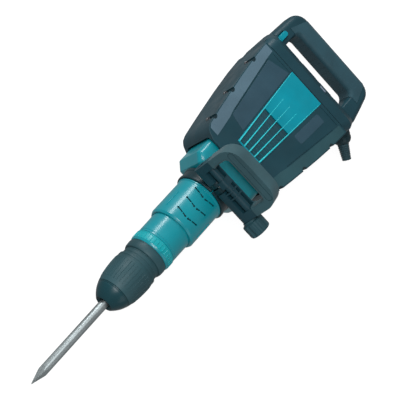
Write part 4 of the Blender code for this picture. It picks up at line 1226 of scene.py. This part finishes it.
# %% Gland and sleeve
AIM = Vector((0.42, 0.88, -0.22)).normalized()
GLAND_START = Vector((-141, 125, 0))
gland_turn = Vector((1, 0, 0)).rotation_difference(AIM).to_matrix()


def at_gland(bm):
    return placed(bm, *GLAND_START, gland_turn)


gland = [(0, 0), (0, 18.6), (9, 19.2), (10, 18.4), (11.5, 18.4), (12.5, 19.4), (18, 19.0), (22, 17.4)]
gland += [(24.5, 15.8), (26.8, 13.2), (28, 12.2), (28, 0)]
NUT_GRIPS = 12
nut_grips = []
for n in range(NUT_GRIPS):
    angle = math.tau * n / NUT_GRIPS
    nut_grips.append(rod(14, 23, 1.6, 12, "X", (0, 19.8 * math.cos(angle), 19.8 * math.sin(angle))))
gland_bm = at_gland(combined(turned(gland, 72), nut_grips))
keep_side(gland_bm, (-138, 131.7, 0), (-3, -25, 0))
piece("gland_nut", gland_bm, "housing", black_plastic, ["cord_gland"], 0.3)

boot = [(28.5, 4.2), (28.5, 11.6), (29.2, 12.0)]
RINGS, RING_PITCH = 7, 4.2
for n in range(RINGS):
    start = 31.5 + n * RING_PITCH
    radius = 11.9 - 0.34 * n
    boot += [(start, radius), (start + 0.5, radius - 1.5), (start + 1.5, radius - 1.5), (start + 2.0, radius)]
boot += [(60.8, 9.5), (61.7, 9.0), (62, 8.0), (62, 4.2)]
piece("cord_sleeve", at_gland(turned(boot, 48)), "housing", boot_rubber, ["cord_boot"])

# %% [markdown]
# ## Floor, light and camera
# A floor that glows like a lit light table keeps the ground white and takes the shadow away, as in a product
# shot. The floor shows to the camera only and casts no light back, which would wash out the undersides. Three
# soft boxes shape the tool: a long one beside the left shoulder draws the streaks on the barrels, a square one
# above the nose is the main light, and a weak one opposite opens the shadows.

# %% Studio
bpy.context.scene.view_settings.view_transform = "Standard"


def pale_floor():
    bm = bmesh.new()
    bmesh.ops.create_grid(bm, x_segments=1, y_segments=1, size=9.0)
    bmesh.ops.translate(bm, verts=bm.verts, vec=(0, 0, -0.0006))
    mesh = bpy.data.meshes.new("floor")
    bm.to_mesh(mesh)
    bm.free()
    made = bpy.data.objects.new("floor", mesh)
    bpy.context.scene.collection.objects.link(made)
    paper = Finish("floor_paper", 0.9)
    paper.colour(paper.ramp(paper.noise(1.5, 2.0), 0.3, 0.7, (0.16, 0.16, 0.16), (0.2, 0.2, 0.2)))
    paper.set("Specular IOR Level", 0.0)
    paper.set("Emission Color", (1.0, 1.0, 1.0, 1.0))
    paper.set("Emission Strength", 0.92)
    made.data.materials.append(paper.material)
    made.visible_diffuse = False
    made.visible_glossy = False
    made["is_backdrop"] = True


def soft_box(name, place, aim, size, power):
    data = bpy.data.lights.new(name, "AREA")
    data.shape = "RECTANGLE"
    data.size, data.size_y = size
    data.energy = power
    lamp = bpy.data.objects.new(name, data)
    lamp.location = place
    lamp.rotation_euler = (Vector(aim) - Vector(place)).to_track_quat("-Z", "Y").to_euler()
    lamp.visible_camera = False
    bpy.context.scene.collection.objects.link(lamp)


pale_floor()
world = bpy.data.worlds.new("tent")
bpy.context.scene.world = world
world.use_nodes = True
sky = world.node_tree.nodes["Background"]
sky.inputs["Color"].default_value = (1.0, 1.0, 1.0, 1.0)
sky.inputs["Strength"].default_value = 0.34
middle = (0.15, 0.0, 0.05)
soft_box("streak", (-0.72, -1.8, 0.95), (0.25, 0.0, 0.06), (1.6, 0.5), 34)
soft_box("key", (0.9, -0.7, 2.3), middle, (1.2, 1.2), 46)
soft_box("fill", (0.8, 1.8, 1.2), middle, (1.5, 1.5), 6)

# %% [markdown]
# The camera looks down on the tool as it lies, from in front and a little to the left. Its place is given as
# a person would set it: the point it looks at, how far away it is, and three angles.

# %% Camera
AIM_POINT = Vector((0.2027, 0.0036, AXIS_HEIGHT))
DISTANCE = 2.2
AZIMUTH, ELEVATION, ROLL = (math.radians(angle) for angle in (-21.366, 61.919, 65.953))
LENS = 103.6

towards = Vector((math.cos(AZIMUTH) * math.cos(ELEVATION), math.sin(AZIMUTH) * math.cos(ELEVATION),
                  math.sin(ELEVATION)))
camera_data = bpy.data.cameras.new("camera")
camera_data.lens = LENS
camera_data.sensor_width = 36.0
camera_data.clip_end = 50.0
camera = bpy.data.objects.new("camera", camera_data)
turn = towards.to_track_quat("Z", "Y").to_matrix() @ Matrix.Rotation(ROLL, 3, "Z")
camera.matrix_world = Matrix.Translation(AIM_POINT + DISTANCE * towards) @ turn.to_4x4()
bpy.context.scene.collection.objects.link(camera)
bpy.context.scene.camera = camera

# %% [markdown]
# Last, the box round the finished object is printed, leaving out the floor.

# %% Sizes and finish
low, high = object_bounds()
print("visual box", [round(value, 4) for value in (*low, *high)])
